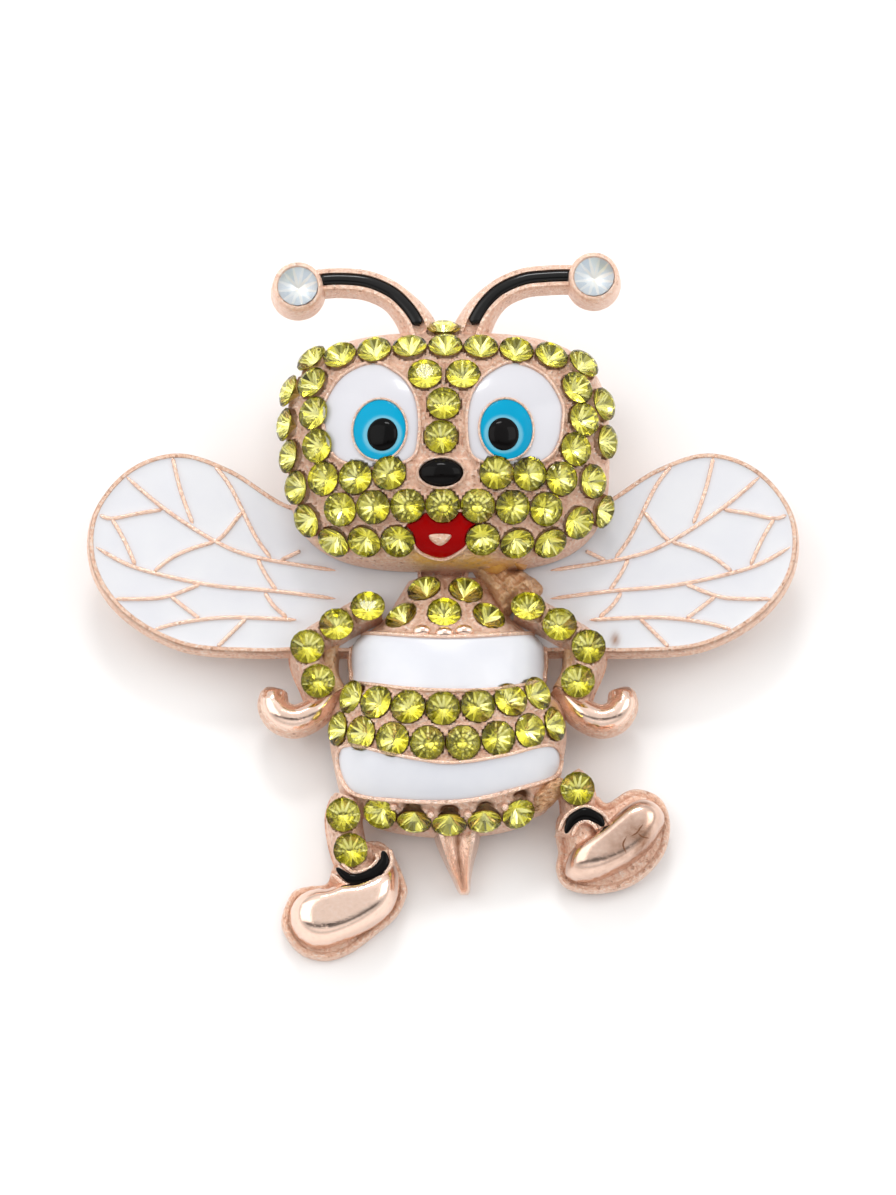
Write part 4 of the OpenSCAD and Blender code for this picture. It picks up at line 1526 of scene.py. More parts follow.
@dataclass
class Antenna:
    """An antenna: a drafted bar with a black inlay, ending in a ball with a crystal."""

    left: bool
    width: float = 1.6
    height: float = 1.9
    channel: float = 0.8
    foot: float = 0.45
    ball_r: float = 1.95
    ball_h: float = 2.5
    seat_z: float = 1.75

    LEFT = [[-9.6, 22.4], [-8.5, 22.65], [-6.9, 22.7], [-5.3, 22.5], [-3.7, 21.8], [-2.6, 20.8],
            [-1.8, 19.6], [-1.4, 18.3]]
    RIGHT = [[10, 22.8], [8.9, 22.95], [7.3, 22.9], [5.7, 22.7], [4.1, 22], [3, 21], [2.2, 19.7],
             [1.7, 18.3]]

    @property
    def ball(self) -> tuple[float, float]:
        """The ball's middle."""
        return (-10.25, 22.05) if self.left else (10.65, 22.75)

    @property
    def line(self) -> Points:
        """The antenna's middle line."""
        return smooth_curve(self.LEFT if self.left else self.RIGHT, 9)

    def metal(self, form: Form) -> None:
        """Adds the bar and the ball.

        Args:
            form: The head's metal.
        """
        w, h, c = self.width / 2, self.height, self.channel / 2
        half = [(w * 1.22, 0), (w * 1.12, h * 0.5), (w, h - 0.12), (w - 0.1, h), (c + 0.05, h + 0.02),
                (c, h - 0.05), (c - 0.02, h - 0.35)]
        profile = [(-x, z) for x, z in half] + half[::-1]
        line = self.line
        t = np.linspace(0, 1, len(line))
        full = 0.25 + 0.75 * np.minimum(1, np.minimum(t / 0.09, (1 - t) / 0.05))
        rows = []
        for p, s, k, foot in zip(line, right_of(line), full, 1 + self.foot * step(0.5, 1.0, t)):
            row = []
            for x, z in profile:
                if z < h * 0.9 and abs(x) > c + 0.03:
                    x = x * foot
                high = z if z < h * 0.9 or abs(x) > c + 0.03 else h - 0.35 * k
                row.append([p[0] + s[0] * x, p[1] + s[1] * x, self.seat_z + high])
            rows.append(row)
        form.skin(np.array(rows), cap=True, polish=0.35, hollow=0.05)
        r, z = self.ball_r, self.ball_h
        profile = [(0, 0), (r, 0), (r, 0.25), (r * 0.95, z * 0.6), (r * 0.9, z - 0.15),
                   (r * 0.84, z - 0.02), (r * 0.76, z + 0.02), (r * 0.72, z - 0.06),
                   (r * 0.69, z - 0.25), (0.3, z - 1.1), (0, z - 1.1)]
        form.turned(profile, Matrix.Translation((*self.ball, self.seat_z)), 48, polish=0.45)

    def enamel(self) -> None:
        """Builds the black inlay."""
        side = "left" if self.left else "right"
        path = raised(self.line[7:-7], self.seat_z + self.height - 0.12)
        form = Form().wire(path, self.channel, 0.44, sides=14, taper=0.04)
        bring(f"{side}_antenna_inlay", form, (BLACK_LINE,), (f"{side}_antenna_enamel",))


# The body, its limbs and the wings


@dataclass
class Wing:
    """A wing: a drafted plate with a lowered field, enamel and raised veins."""

    left: bool
    half_span: float = 25.0
    length: float = 14.4
    middle_y: float = 3.5
    plate_t: float = 1.6
    rim: float = 0.3
    rim_edge_shade: float = 1.1
    vein: float = 0.33
    bead: float = 0.16

    OUTLINE = [[0.08, 0.05], [0.3, 0.36], [0.445, 0.48], [0.6, 0.82], [0.75, 0.98], [0.89, 0.81],
               [0.985, 0.37], [0.985, -0.16], [0.895, -0.62], [0.73, -0.935], [0.53, -1],
               [0.4, -0.99], [0.29, -1.0], [0.2, -0.99], [0.08, -0.9]]
    VEINS = [
        [[0.91, 0.8], [0.79, 0.44], [0.64, 0.1], [0.52, -0.06], [0.3, -0.19]],
        [[0.765, 0.97], [0.74, 0.61], [0.704, 0.27]],
        [[0.655, 0.9], [0.6, 0.65], [0.53, 0.16], [0.483, -0.07]],
        [[0.566, 0.4], [0.614, 0.18], [0.641, 0.1]],
        [[0.97, 0.37], [0.934, 0.33], [0.86, 0.38], [0.79, 0.42]],
        [[0.934, 0.33], [0.9, 0.13], [0.865, -0.14]],
        [[0.98, 0.05], [0.865, -0.16], [0.66, -0.33], [0.48, -0.39], [0.3, -0.47]],
        [[0.641, 0.1], [0.711, 0.025], [0.765, -0.065], [0.814, -0.2]],
        [[0.523, -0.07], [0.499, -0.23], [0.468, -0.39]],
        [[0.459, -0.09], [0.4, 0.01]],
        [[0.95, -0.47], [0.834, -0.47], [0.768, -0.44], [0.68, -0.32]],
        [[0.768, -0.44], [0.725, -0.56], [0.683, -0.67]],
        [[0.84, -0.81], [0.74, -0.71], [0.6, -0.655], [0.41, -0.68]],
        [[0.503, -0.4], [0.476, -0.54], [0.437, -0.66]],
        [[0.552, -0.66], [0.592, -0.8], [0.64, -0.97]],
    ]
    STAIN, STAIN_REACH = (12.1, -2.8), (0.28, 0.5)
    RIM_ROW = 6

    @property
    def size(self) -> tuple[float, float]:
        """Half span and half length."""
        return (-self.half_span if self.left else self.half_span), self.length / 2

    @property
    def edge(self) -> Points:
        """The plate's top edge."""
        ring = smooth_curve(share(self.OUTLINE, self.size, (0, self.middle_y)), 16, closed=True)
        return even(ring, 240, closed=True)

    def veins(self) -> list[Points]:
        """The veins' middle lines."""
        return [smooth_curve(share(v, self.size, (0, self.middle_y)), 8) for v in self.VEINS]

    @property
    def centre(self) -> tuple[float, float]:
        """The middle that the plate's rings shrink to."""
        return self.size[0] * 0.58, self.middle_y

    def metal(self, form: Form) -> None:
        """Adds the plate, its rim and its veins.

        Args:
            form: The body's metal.
        """
        edge, t = self.edge, self.plate_t
        centre, inner = np.array(self.centre), offset(edge, -self.rim)
        steps = [(inner, t - 0.45), (inner, t - 0.04), (offset(edge, -self.rim + 0.05), t + 0.03),
                 (offset(edge, -0.07), t + 0.03), (edge, t - 0.05), (offset(edge, 0.1), t * 0.55),
                 (offset(edge, 0.22), 0.1), (offset(edge, 0.16), 0)]
        rows = [raised(centre + s * (inner - centre), t - 0.45) for s in (0, 0.5)]
        rows += [raised(ring, z) for ring, z in steps]
        rows += [raised(centre + s * (edge - centre), 0.0) for s in (0.6, 0.0)]
        marks = np.zeros((len(rows), len(edge)))
        # Painted shade: a dark line along the plate's top edge.
        marks[self.RIM_ROW] = self.rim_edge_shade
        form.skin(np.array(rows), polish=0.2, hollow=marks)
        for line in self.veins():
            length = np.linalg.norm(np.diff(line, axis=0), axis=1).sum()
            fine = even(line, max(12, int(length / self.bead)))
            fine = fine[inside_by(edge, fine) > 0.15]
            form.wire(raised(fine, t - 0.1), self.vein, 0.34, taper=0.05, beads=0.2, polish=0.6)

    def enamel(self) -> None:
        """Builds the enamel between the veins."""
        side = "left" if self.left else "right"
        inner = offset(self.edge, -self.rim + 0.03)
        lines = self.veins()

        def surface(xy: Points) -> Points:
            """Lets the enamel creep up the rim and the veins and dip between them.

            Args:
                xy: Places in the flat.

            Returns:
                The enamel's surface there.
            """
            flat = xy.reshape(-1, 2)
            reach = np.min([near_line(line, flat) for line in lines], axis=0)
            reach = np.minimum(reach, np.maximum(0, inside_by(inner, flat)))
            z = self.plate_t - 0.17 + 0.11 * np.exp(-reach / 0.28)
            return raised(flat, z).reshape(*xy.shape[:-1], 3)

        rows, _ = patch(inner, 46, surface, 0.0, self.centre, skirt=0.22)
        flat = rows[..., :2]
        # A brown stain on the right wing's enamel.
        brown_tone = np.zeros(rows.shape[:2])
        if not self.left:
            d = (flat - np.array(self.STAIN)) / np.array(self.STAIN_REACH)
            brown_tone = 0.85 * np.exp(-np.sum(d ** 2, axis=-1))
        reach = np.min([near_line(line, flat.reshape(-1, 2)) for line in lines], axis=0)
        # Painted shade near the veins.
        hollow = 0.5 * hump(reach.reshape(rows.shape[:2]), 0.1, 0.2)
        glaze = Form().skin(rows, tint=brown_tone, hollow=hollow)
        bring(f"{side}_wing_glaze", glaze, (PEARL,), (f"{side}_wing_enamel",))


@dataclass
class Limb:
    """A cast limb: a drafted bar with a rounded back, stones sunk into it."""

    path: Table
    width: float = 2.9
    sinks: Sinkings = field(default_factory=Sinkings)
    brown_tone: float = 0.0
    pitch: float = 0.17

    def metal(self, form: Form) -> None:
        """Adds the limb to the metal.

        Args:
            form: The metal that it is soldered to.
        """
        line = smooth_curve(self.path, 12)
        length = np.linalg.norm(np.diff(line[:, :2], axis=0), axis=1).sum()
        line = even(line, int(length / self.pitch))
        side = right_of(line[:, :2])
        a = np.linspace(-0.12, 1.12, 46) * np.pi
        x, z = -np.cos(a), np.sin(a)
        x = np.sign(x) * np.abs(x) ** 0.62 * self.width / 2 / 1.06
        z = np.maximum(0, np.where(z > 0, np.abs(z) ** 0.55, 0))
        drafted = x * (1.1 - 0.16 * z)
        rows = np.stack([line[:, 0, None] + side[:, 0, None] * drafted,
                         line[:, 1, None] + side[:, 1, None] * drafted, line[:, 2, None] * z], axis=-1)
        rows, hollow = self.sinks.press(rows, facing_of(rows, True, UP))
        # The limb can be darkened and warmed all over; the walls of the arm holes use this as painted
        # shade.
        form.skin(rows, cap=True, hollow=hollow + self.brown_tone, polish=0.22, tint=self.brown_tone)


@dataclass
class Hand:
    """A hand: a round bar that curls outwards, with a leaf-shaped groove."""

    side: int
    wrist: tuple[float, float]
    reach: float = 3.4
    width: float = 2.35
    leaf_deep: float = 0.3

    TABLE = [[-0.25, 0.3, 0.8, 0.95], [0, 0, 0.9, 0.95], [0.26, -0.25, 0.96, 1.02],
             [0.6, -0.39, 1.0, 1.05], [0.9, -0.31, 1.0, 1.05], [1.06, -0.1, 0.95, 1.0],
             [1.06, 0.08, 0.9, 0.92], [1.04, 0.2, 0.8, 0.8], [1.03, 0.28, 0.62, 0.6],
             [1.02, 0.32, 0.2, 0.3]]

    def metal(self, form: Form) -> None:
        """Adds the hand to the metal.

        Args:
            form: The body's metal.
        """
        table = smooth_curve(self.TABLE, 12)
        p = np.column_stack([self.wrist[0] + self.side * table[:, 0] * self.reach,
                             self.wrist[1] + table[:, 1] * self.reach])
        out = right_of(p) * self.side * -1
        a = np.linspace(-0.14, 1.14, 44) * np.pi
        x, z = np.cos(a), np.maximum(0, 0.22 + 0.78 * np.sin(a))
        w, h = table[:, 2] * self.width / 2, table[:, 3] * self.width
        across = x[None] * w[:, None]
        s = np.linspace(0, 1, len(p))[:, None]
        leaf = 1 - ((s - 0.76) / 0.16) ** 2
        dent = np.clip(leaf, 0, 1) * hump(x[None], -0.36, 0.17)
        high = z[None] * h[:, None] - self.leaf_deep * dent
        rows = np.stack([p[:, 0, None] - out[:, 0, None] * across,
                         p[:, 1, None] - out[:, 1, None] * across, high], axis=-1)
        flat = step(0.62, 0.9, np.abs(x))[None] * np.ones(s.shape)
        # Painted shade in the leaf groove; the hand is also darker at the wrist.
        form.skin(rows, cap=True, polish=1.0 - 0.75 * flat,
                  hollow=0.75 * step(0.35, 0.8, dent) + 0.8 * step(0.14, 0.04, s))


@dataclass
class Boot:
    """A boot: a mirror-bright dome on a drafted flange, a black cuff at its top."""

    name: str
    sole: Table
    dome: Table
    centre: tuple[float, float]
    cuff: Table
    cracks: Sequence[Table] = ()
    dark_reflection: float = 0.0
    height: float = 3.9
    flange: float = 1.0
    fullness: float = 2.4
    band_z: float = 3.2
    lip_z: float = 3.15
    inlay_z: float = 3.22

    def swell(self, foot: Points, xy: Points) -> Points:
        """The share of its height that the dome has at places in the flat."""
        return np.sqrt(1 - np.power(1 - np.clip(inflate(foot, xy), 0, 1), self.fullness))

    def metal(self, form: Form) -> None:
        """Adds the boot and its cuff's band.

        Args:
            form: The body's metal.
        """
        base, foot = (even(smooth_curve(line, 10, closed=True), 132, closed=True)
                      for line in (self.sole, self.dome))
        self.upper(form, foot)
        self.welt(form, base, foot)
        Limb(smooth_curve(raised(np.array(self.cuff), self.band_z), 8), 1.55).metal(form)
        lip = smooth_curve(self.cuff, 8)
        for out in (0.5, -0.5):
            path = raised(lip + right_of(lip) * out, self.lip_z)
            form.wire(path, 0.3, 0.4, taper=0.06, polish=0.6)
        for crack in self.cracks:
            line = even(smooth_curve(crack, 6), 24)
            high = self.flange + (self.height - self.flange) * self.swell(foot, line)
            form.wire(raised(line, high), 0.11, 0.07, sides=6, taper=0.3, hollow=2.2)

    def upper(self, form: Form, foot: Points) -> None:
        """Adds the bright dome.

        Args:
            form: The metal.
            foot: The line where the dome meets the flange.
        """
        c = np.array(self.centre)
        steps = np.sin(np.linspace(0, np.pi / 2, 44))
        xy = c + steps[:, None, None] * (foot - c)
        full = self.swell(foot, xy.reshape(-1, 2)).reshape(xy.shape[:2])
        full[-1] = 0
        rows = [raised(p, self.flange + (self.height - self.flange) * f) for p, f in zip(xy, full)]
        # Painted dark reflection: a boot with this set gets a darker dome, more so near its cracks.
        crack_middles = [np.array(crack).mean(0) for crack in self.cracks]
        none = np.zeros(len(foot))
        near_cracks = [sum((hump(np.linalg.norm(p - s, axis=1), 0, 1.3) for s in crack_middles), none) for p in xy]
        hollow = [self.dark_reflection * (0.5 + 0.5 * s) for s in near_cracks]
        rows += [raised(foot, self.flange - 0.2), raised(foot, 0.0), raised(c + 0 * foot, 0.0)]
        form.skin(np.array(rows), polish=np.array([none + 1] * len(steps) + [none] * 3),
                  hollow=np.array(hollow + [none] * 3))

    def welt(self, form: Form, base: Points, foot: Points) -> None:
        """Adds the drafted flange round the dome.

        Args:
            form: The metal.
            base: The flange's line.
            foot: The line where the dome meets it.
        """
        t, c = self.flange, np.array(self.centre) + 0 * base
        steps = ((0.5, t - 0.2), (0.35, t - 0.04), (0.12, t), (0.03, t - 0.14), (0.0, 0.5),
                 (-0.02, 0.12), (0.1, 0))
        rows = [raised(c, t - 0.2), *(raised(offset(base, -inwards), z) for inwards, z in steps),
                raised(c, 0.0)]
        # Painted shade in the crease where the dome meets the flange.
        near = np.array([hump(inside_by(foot, r[:, :2]), -0.05, 0.1) for r in rows])
        form.skin(np.array(rows), polish=0.35, hollow=near * 0.8)

    def enamel(self) -> None:
        """Builds the black cuff."""
        path = raised(smooth_curve(self.cuff, 8), self.inlay_z)
        cuff = Form().wire(path, 1.0, 0.5, sides=14, taper=0.5)
        bring(f"{self.name}_cuff_black", cuff, (BLACK,), (f"{self.name}_cuff_enamel",))


@dataclass
class Body:
    """The body casting: wings, domed body, arms, hands, legs, boots and stinger."""

    seats: list[Seat]
    wall: float = 1.4
    chest_middle: float = 0.27
    belly_middle: float = -0.6
    hem_y: float = -13.0
    hem_x: tuple[float, float] = (-5.6, 6.4)

    CHEST = [[-0.76, 0.56], [-0.6, 0.52], [-0.3, 0.475], [0, 0.46], [0.3, 0.475], [0.6, 0.52], [0.76, 0.56],
             [0.8, 0.4], [0.79, 0.25], [0.75, 0.16], [0.4, 0.06], [0, 0.04], [-0.4, 0.07], [-0.75, 0.16],
             [-0.79, 0.26], [-0.8, 0.4]]
    BELLY = [[-0.88, -0.36], [-0.45, -0.46], [0, -0.53], [0.45, -0.47], [0.88, -0.35], [0.87, -0.56],
             [0.5, -0.71], [0.1, -0.79], [-0.4, -0.78], [-0.8, -0.68]]
    STAINS = [[-5.9, -13.3, 4.2, 0.8, 0.8], [8.3, -8.2, 3.0, 0.9, 0.8], [6.3, -4.6, 3.0, 0.7, 0.5],
              [2.6, 0.4, 3.6, 0.7, 0.6], [7.0, -13.4, 2.2, 1.0, 0.5]]
    BRIGHT_BEADS = [[-1.5, -2.85], [0.1, -3.05], [1.5, -2.85]]
    RESIDUE = [
        ([[1.9, 2.5], [3.3, 2.2], [4.6, 2.3], [5.9, 1.9], [7.0, 0.9], [6.6, 0.1], [5.2, -0.5], [4.2, -1.6],
          [3.6, -0.6], [3.0, 0.6]], 1.75, 1.5, 0, 0.16),
        ([[2.2, 3.4], [3.6, 3.2], [5.0, 3.2], [6.1, 2.9], [5.7, 2.0], [4.8, 2.2], [3.7, 1.6], [2.6, 2.1]],
         2.9, 1.1, 1, 0.07),
        ([[-2.1, 3.4], [-0.6, 3.3], [0.1, 2.6], [-0.7, 2.1], [-1.9, 2.4]], 2.6, 1.0, 1, 0.07),
        ([[-1.4, 2.4], [1.2, 2.5], [3.9, 2.2], [3.8, 1.9], [1.0, 2.1], [-1.3, 2.1]], 3.1, 0.7, 0, 0.04),
        ([[6.1, -13.7], [7.0, -13.1], [8.2, -12.8], [8.6, -13.5], [7.7, -14.6], [6.8, -15.2], [6.1, -14.9]],
         2.5, 1.0, 0, 0.12),
    ]
    ARM = [[0.55, 0.77, 0.8], [0.66, 0.745, 1.2], [0.92, 0.61, 1.08], [1.16, 0.44, 1], [1.07, 0.17, 1]]
    HOLE_WALLS = {-1: [[-7.7, -2.9, 1.9], [-8.0, -4.2, 2.1], [-7.9, -5.4, 2.3], [-7.3, -6.6, 2.6]],
                  1: [[8.6, -2.4, 1.9], [9.05, -3.6, 2.1], [8.95, -5.0, 2.3], [8.3, -6.4, 2.6]]}
    LEFT_LEG = [[-6.6, -14.2, 3.1], [-6.97, -15.55, 3.15], [-6.45, -18.05, 3.1], [-5.3, -19.8, 3.0]]
    RIGHT_LEG = [[8.75, -12.75, 2.9], [9.4, -13.7, 3.15], [9.6, -16, 3.0], [9.9, -18, 2.9]]
    STING = [[0.95, -16.0, 3.1, 2.2], [1.03, -17.2, 2.6, 2.0], [1.12, -18.4, 1.85, 1.7],
             [1.3, -19.6, 1.15, 1.4], [1.45, -20.4, 0.8, 1.1], [1.5, -20.72, 0.45, 0.7]]
    STING_SECTION = [(-1.15, 0), (-1.05, 0.6), (-0.9, 0.95), (-0.7, 1.02), (-0.35, 0.8), (0, 0.68),
                     (0.35, 0.8), (0.7, 1.02), (0.9, 0.95), (1.05, 0.6), (1.15, 0)]
    WEB = ((6.6, 0.0), (6.7, 0.1), (6.7, 0.8), (6.6, 0.9), (-3.3, 0.9), (-3.4, 0.8), (-3.4, 0.1),
           (-3.3, 0.0), (6.6, 0.0))
    BEAD = [(0, 0.9), (0.35, 0.85), (0.7, 0.62), (0.95, 0.25), (1, 0), (0.8, -0.5), (0, -0.6)]
    LEFT_SOLE = [[-11.3, -22.57], [-10.56, -20.68], [-9.37, -20.22], [-8.14, -20.02], [-7.7, -18.79],
                 [-6.9, -17.71], [-5.7, -17.14], [-4.42, -17.05], [-3.45, -17.96], [-2.56, -20.1],
                 [-2.6, -20.92], [-3.29, -22.32], [-4.91, -23.72], [-6.52, -24.88], [-8.14, -25.4],
                 [-9.76, -25.04], [-10.81, -23.97]]
    RIGHT_SOLE = [[10.85, -13.84], [11.51, -14.31], [12.87, -13.48], [13.87, -13.35], [15.08, -13.84],
                  [15.76, -14.86], [15.89, -16.37], [15.42, -17.95], [14.21, -19.39], [12.87, -20.22],
                  [11.18, -20.62], [9.49, -20.56], [8.35, -20.01], [7.92, -18.91], [8.08, -17.74],
                  [7.92, -16.71], [8.01, -15.34], [8.94, -14.48], [10.0, -13.98]]
    LEFT_DOME = [[-10.71, -22.65], [-10.43, -21.5], [-9.77, -20.88], [-8.82, -20.58], [-7.98, -20.6],
                 [-7.3, -20.1], [-5.9, -20.1], [-4.5, -19.1], [-3.85, -18.5], [-3.3, -18.9],
                 [-3.05, -20.5], [-3.73, -22.27], [-5.81, -23.77], [-8.5, -24.69], [-10.1, -24.0]]
    RIGHT_DOME = [[8.49, -19.08], [8.66, -19.67], [9.37, -20.03], [10.49, -19.96], [11.9, -19.46],
                  [13.31, -18.67], [14.58, -17.52], [15.35, -16.23], [15.49, -15.44], [15.07, -14.65],
                  [14.15, -14.22], [13.17, -14.44], [12.32, -15.08], [11.55, -15.8], [10.92, -16.37],
                  [10.0, -16.95], [9.08, -17.6]]
    RIGHT_CRACKS = [[[12.8, -17.2], [12.55, -17.7], [12.62, -18.05], [12.8, -18.4]],
                    [[13.1, -17.2], [13.5, -16.95], [13.75, -16.6], [13.95, -16.35]],
                    [[13.6, -17.0], [13.9, -17.2], [14.4, -17.25]]]
    LEFT_CUFF = [[-7.45, -19.3], [-6.36, -20.1], [-4.95, -19.8], [-4.1, -18.9], [-4.2, -18.1]]
    RIGHT_CUFF = [[8.55, -16.9], [9.0, -15.95], [9.9, -15.5], [10.8, -15.85], [11.2, -16.4]]

    def edge_of(self, table: Table) -> Points:
        """An enamel field's edge."""
        return smooth_curve(share(table, TORSO.half[:2], TORSO.centre[:2]), 10, closed=True)

    def shell(self) -> Form:
        """Builds the hollow dome of the body.

        Returns:
            The metal.
        """
        along, across, inner, round_in = 150, 150, 36, 7
        t = np.concatenate([np.full(round_in, -1.0), np.linspace(-1, 1, along + 1),
                            np.full(round_in, 1.0)])[:, None]
        closing = np.linspace(0, 1, round_in, endpoint=False)
        shrink = np.concatenate([closing, np.ones(along + 1), closing[::-1]])[:, None]
        push = np.concatenate([-0.15 * np.sqrt(1 - closing ** 3), np.zeros(along + 1),
                               0.35 * np.sqrt(1 - closing[::-1] ** 3)])[:, None]
        bend = 1.7 * step(-0.8, -1.0, t)
        sheets = []
        for turn, wall, moved in ((np.linspace(0, np.pi, across + 1)[None], 0.0, push),
                                  (np.linspace(np.pi, 0, inner + 1)[None], self.wall, 0.0)):
            rows = TORSO.point(t, turn, wall)
            rows[..., 0] = TORSO.centre[0] + (rows[..., 0] - TORSO.centre[0]) * shrink
            rows[..., 2] *= shrink
            rows[..., 1] += moved + bend * ((rows[..., 0] - TORSO.centre[0]) / TORSO.half[0]) ** 2
            sheets.append(rows)
        form = Form()
        sinks = Sinkings(self.seats, [self.edge_of(self.CHEST), self.edge_of(self.BELLY)], self.hem())
        cast(form, sheets[0], sheets[1], sinks, (0.25, 0.25), self.STAINS)
        return form

    def hem(self) -> list[Seat]:
        """The seats of the row along the hem, from left to right."""
        row = [s for s in self.low_seats() if self.hem_x[0] < s.place[0] < self.hem_x[1]]
        return sorted(row, key=lambda s: s.place[0])

    def low_seats(self) -> list[Seat]:
        """The seats of the hem and the legs."""
        return [s for s in self.seats if s.place[1] < self.hem_y]

    def beads(self, form: Form) -> None:
        """Adds the small beads between the hem's stones and the three bright ones over the chest.

        Args:
            form: The metal.
        """
        row = self.hem()
        for a, b in zip(row[:-1], row[1:]):
            place = (a.beside(1.05) + b.beside(1.05)) / 2
            facing = unit(np.array(a.facing) + np.array(b.facing))
            form.turned([(r * 0.3, h * 0.3) for r, h in self.BEAD], standing(place, facing), 14,
                        polish=0.6)
        for at in self.BRIGHT_BEADS:
            upright = standing(TORSO.over(np.array(at)), TORSO.facing(np.array(at)))
            form.turned([(r * 0.46, h * 0.4) for r, h in self.BEAD],
                        upright @ Matrix.Diagonal((1.4, 1, 1, 1)), 20, polish=1.0)

    @staticmethod
    def lumpy(xy: Points, low: float, grain: float) -> Points:
        """Draws an uneven surface over the wings and the neck.

        Args:
            xy: Places in the flat.
            low: Its height.
            grain: How uneven it is.

        Returns:
            The surface there.
        """
        x, y = xy[..., 0], xy[..., 1]
        wave = (np.sin(5.1 * x + 2.7 * y) + np.sin(6.3 * y - 4.3 * x + 1)
                + 0.8 * np.sin(11.9 * x + 1.3 * y * y) * np.sin(10.7 * y + x))
        return np.concatenate([xy, (low + grain * wave)[..., None]], axis=-1)

    def residue(self, form: Form) -> None:
        """Adds the rough solder and the amber glue that show between the chin and the neck.

        Args:
            form: The metal.
        """
        for outline, low, high, material, grain in self.RESIDUE:
            ring = even(smooth_curve(outline, 8, closed=True), 72, closed=True)
            rows, edge = patch(ring, 20, lambda xy: self.lumpy(xy, low, grain), 0.0, skirt=0.8)
            rows[..., 2] += high * (1 - edge ** 2.4)
            form.skin(rows, material=material, polish=0.3, hollow=0.3 + 0.4 * step(0.6, 1.0, edge),
                      tint=0.0 if material else 0.28)

    def arm(self, side: int) -> Points:
        """Draws an arm's line from the shoulder to the wrist.

        Args:
            side: -1 for the left arm, 1 for the right one.

        Returns:
            Its points, with its height at each.
        """
        line = share([[r[0] * side, r[1]] for r in self.ARM], TORSO.half[:2], TORSO.centre[:2])
        last = line[-1]
        return np.vstack([raised(line, [3.1 * r[2] - 0.02 for r in self.ARM]),
                          [last[0] - side * 0.45, last[1] - 1.1, 2.7]])

    def rim(self, form: Form, table: Table) -> None:
        """Lays the thin gold edge round an enamel field."""
        ring = even(offset(self.edge_of(table), 0.08), 120, closed=True)
        form.wire(TORSO.over(ring), 0.3, 0.34, TORSO.facing(ring), closed=True, polish=0.5)

    def band(self, name: str, table: Table, middle: float) -> None:
        """Builds the enamel of a field.

        Args:
            name: The field's name.
            table: Its edge.
            middle: Its middle along the body.
        """
        centre = (TORSO.centre[0], TORSO.centre[1] + middle * TORSO.half[1])
        ring = even(self.edge_of(table), 140, closed=True)
        rows, edge = patch(ring, 26, lambda xy: TORSO.over(xy, 0.09), 0.08, centre, seats=self.seats)
        # Painted shade darkens the white towards its rim.
        glaze = Form().skin(rows, hollow=step(0.97, 1.0, edge) * 0.4)
        bring(f"{name}_band", glaze, (WHITE,), (f"{name}_enamel",))

    def build(self) -> None:
        """Builds the casting and the enamel on it."""
        form = self.shell()
        self.rim(form, self.CHEST)
        self.rim(form, self.BELLY)
        web = np.array([[[-7, y, z], [7, y, z]] for y, z in self.WEB])
        form.skin(web, wrap=False, cap=True, polish=0.2)
        for side in (-1, 1):
            sinks = Sinkings([s for s in self.seats if s.place[0] * side > 0], between=0.1)
            line = self.arm(side)
            Limb(line, 2.6, sinks).metal(form)
            # The walls inside the arm holes are darker and browner: painted shade.
            Limb(self.HOLE_WALLS[side], 1.3, brown_tone=0.3).metal(form)
            Hand(side, (line[-1][0], line[-1][1])).metal(form)
            Wing(side < 0).metal(form)
        for path in (self.LEFT_LEG, self.RIGHT_LEG):
            Limb(path, 2.6, Sinkings(self.low_seats(), between=0.1)).metal(form)
        boots = [
            Boot("left", self.LEFT_SOLE, self.LEFT_DOME, (-6.9, -21.9), self.LEFT_CUFF),
            # The right boot's darker dome is a painted dark reflection.
            Boot("right", self.RIGHT_SOLE, self.RIGHT_DOME, (11.8, -17.3), self.RIGHT_CUFF,
                 self.RIGHT_CRACKS, dark_reflection=0.8),
        ]
        for boot in boots:
            boot.metal(form)
        self.sting(form)
        self.beads(form)
        self.residue(form)
        bring("body_metal", form, (ROSE, GLUE), ("body_casting",))
        for boot in boots:
            boot.enamel()
        for left in (True, False):
            Wing(left).enamel()
        self.band("chest", self.CHEST, self.chest_middle)
        self.band("belly", self.BELLY, self.belly_middle)

    def sting(self, form: Form) -> None:
        """Adds the stinger, a small bar with a valley along its back.

        Args:
            form: The metal.
        """
        rows = np.array([[[x + w / 2 * a, y, h * b] for a, b in self.STING_SECTION]
                         for x, y, w, h in smooth_curve(self.STING, 8)])
        # Painted shade along the valley of the stinger's back.
        valley = np.zeros(rows.shape[:2])
        valley[:, len(self.STING_SECTION) // 2] = 1.6 * step(0.75, 0.35, np.linspace(0, 1, len(rows)))
        form.skin(rows, cap=True, polish=0.85, hollow=valley)


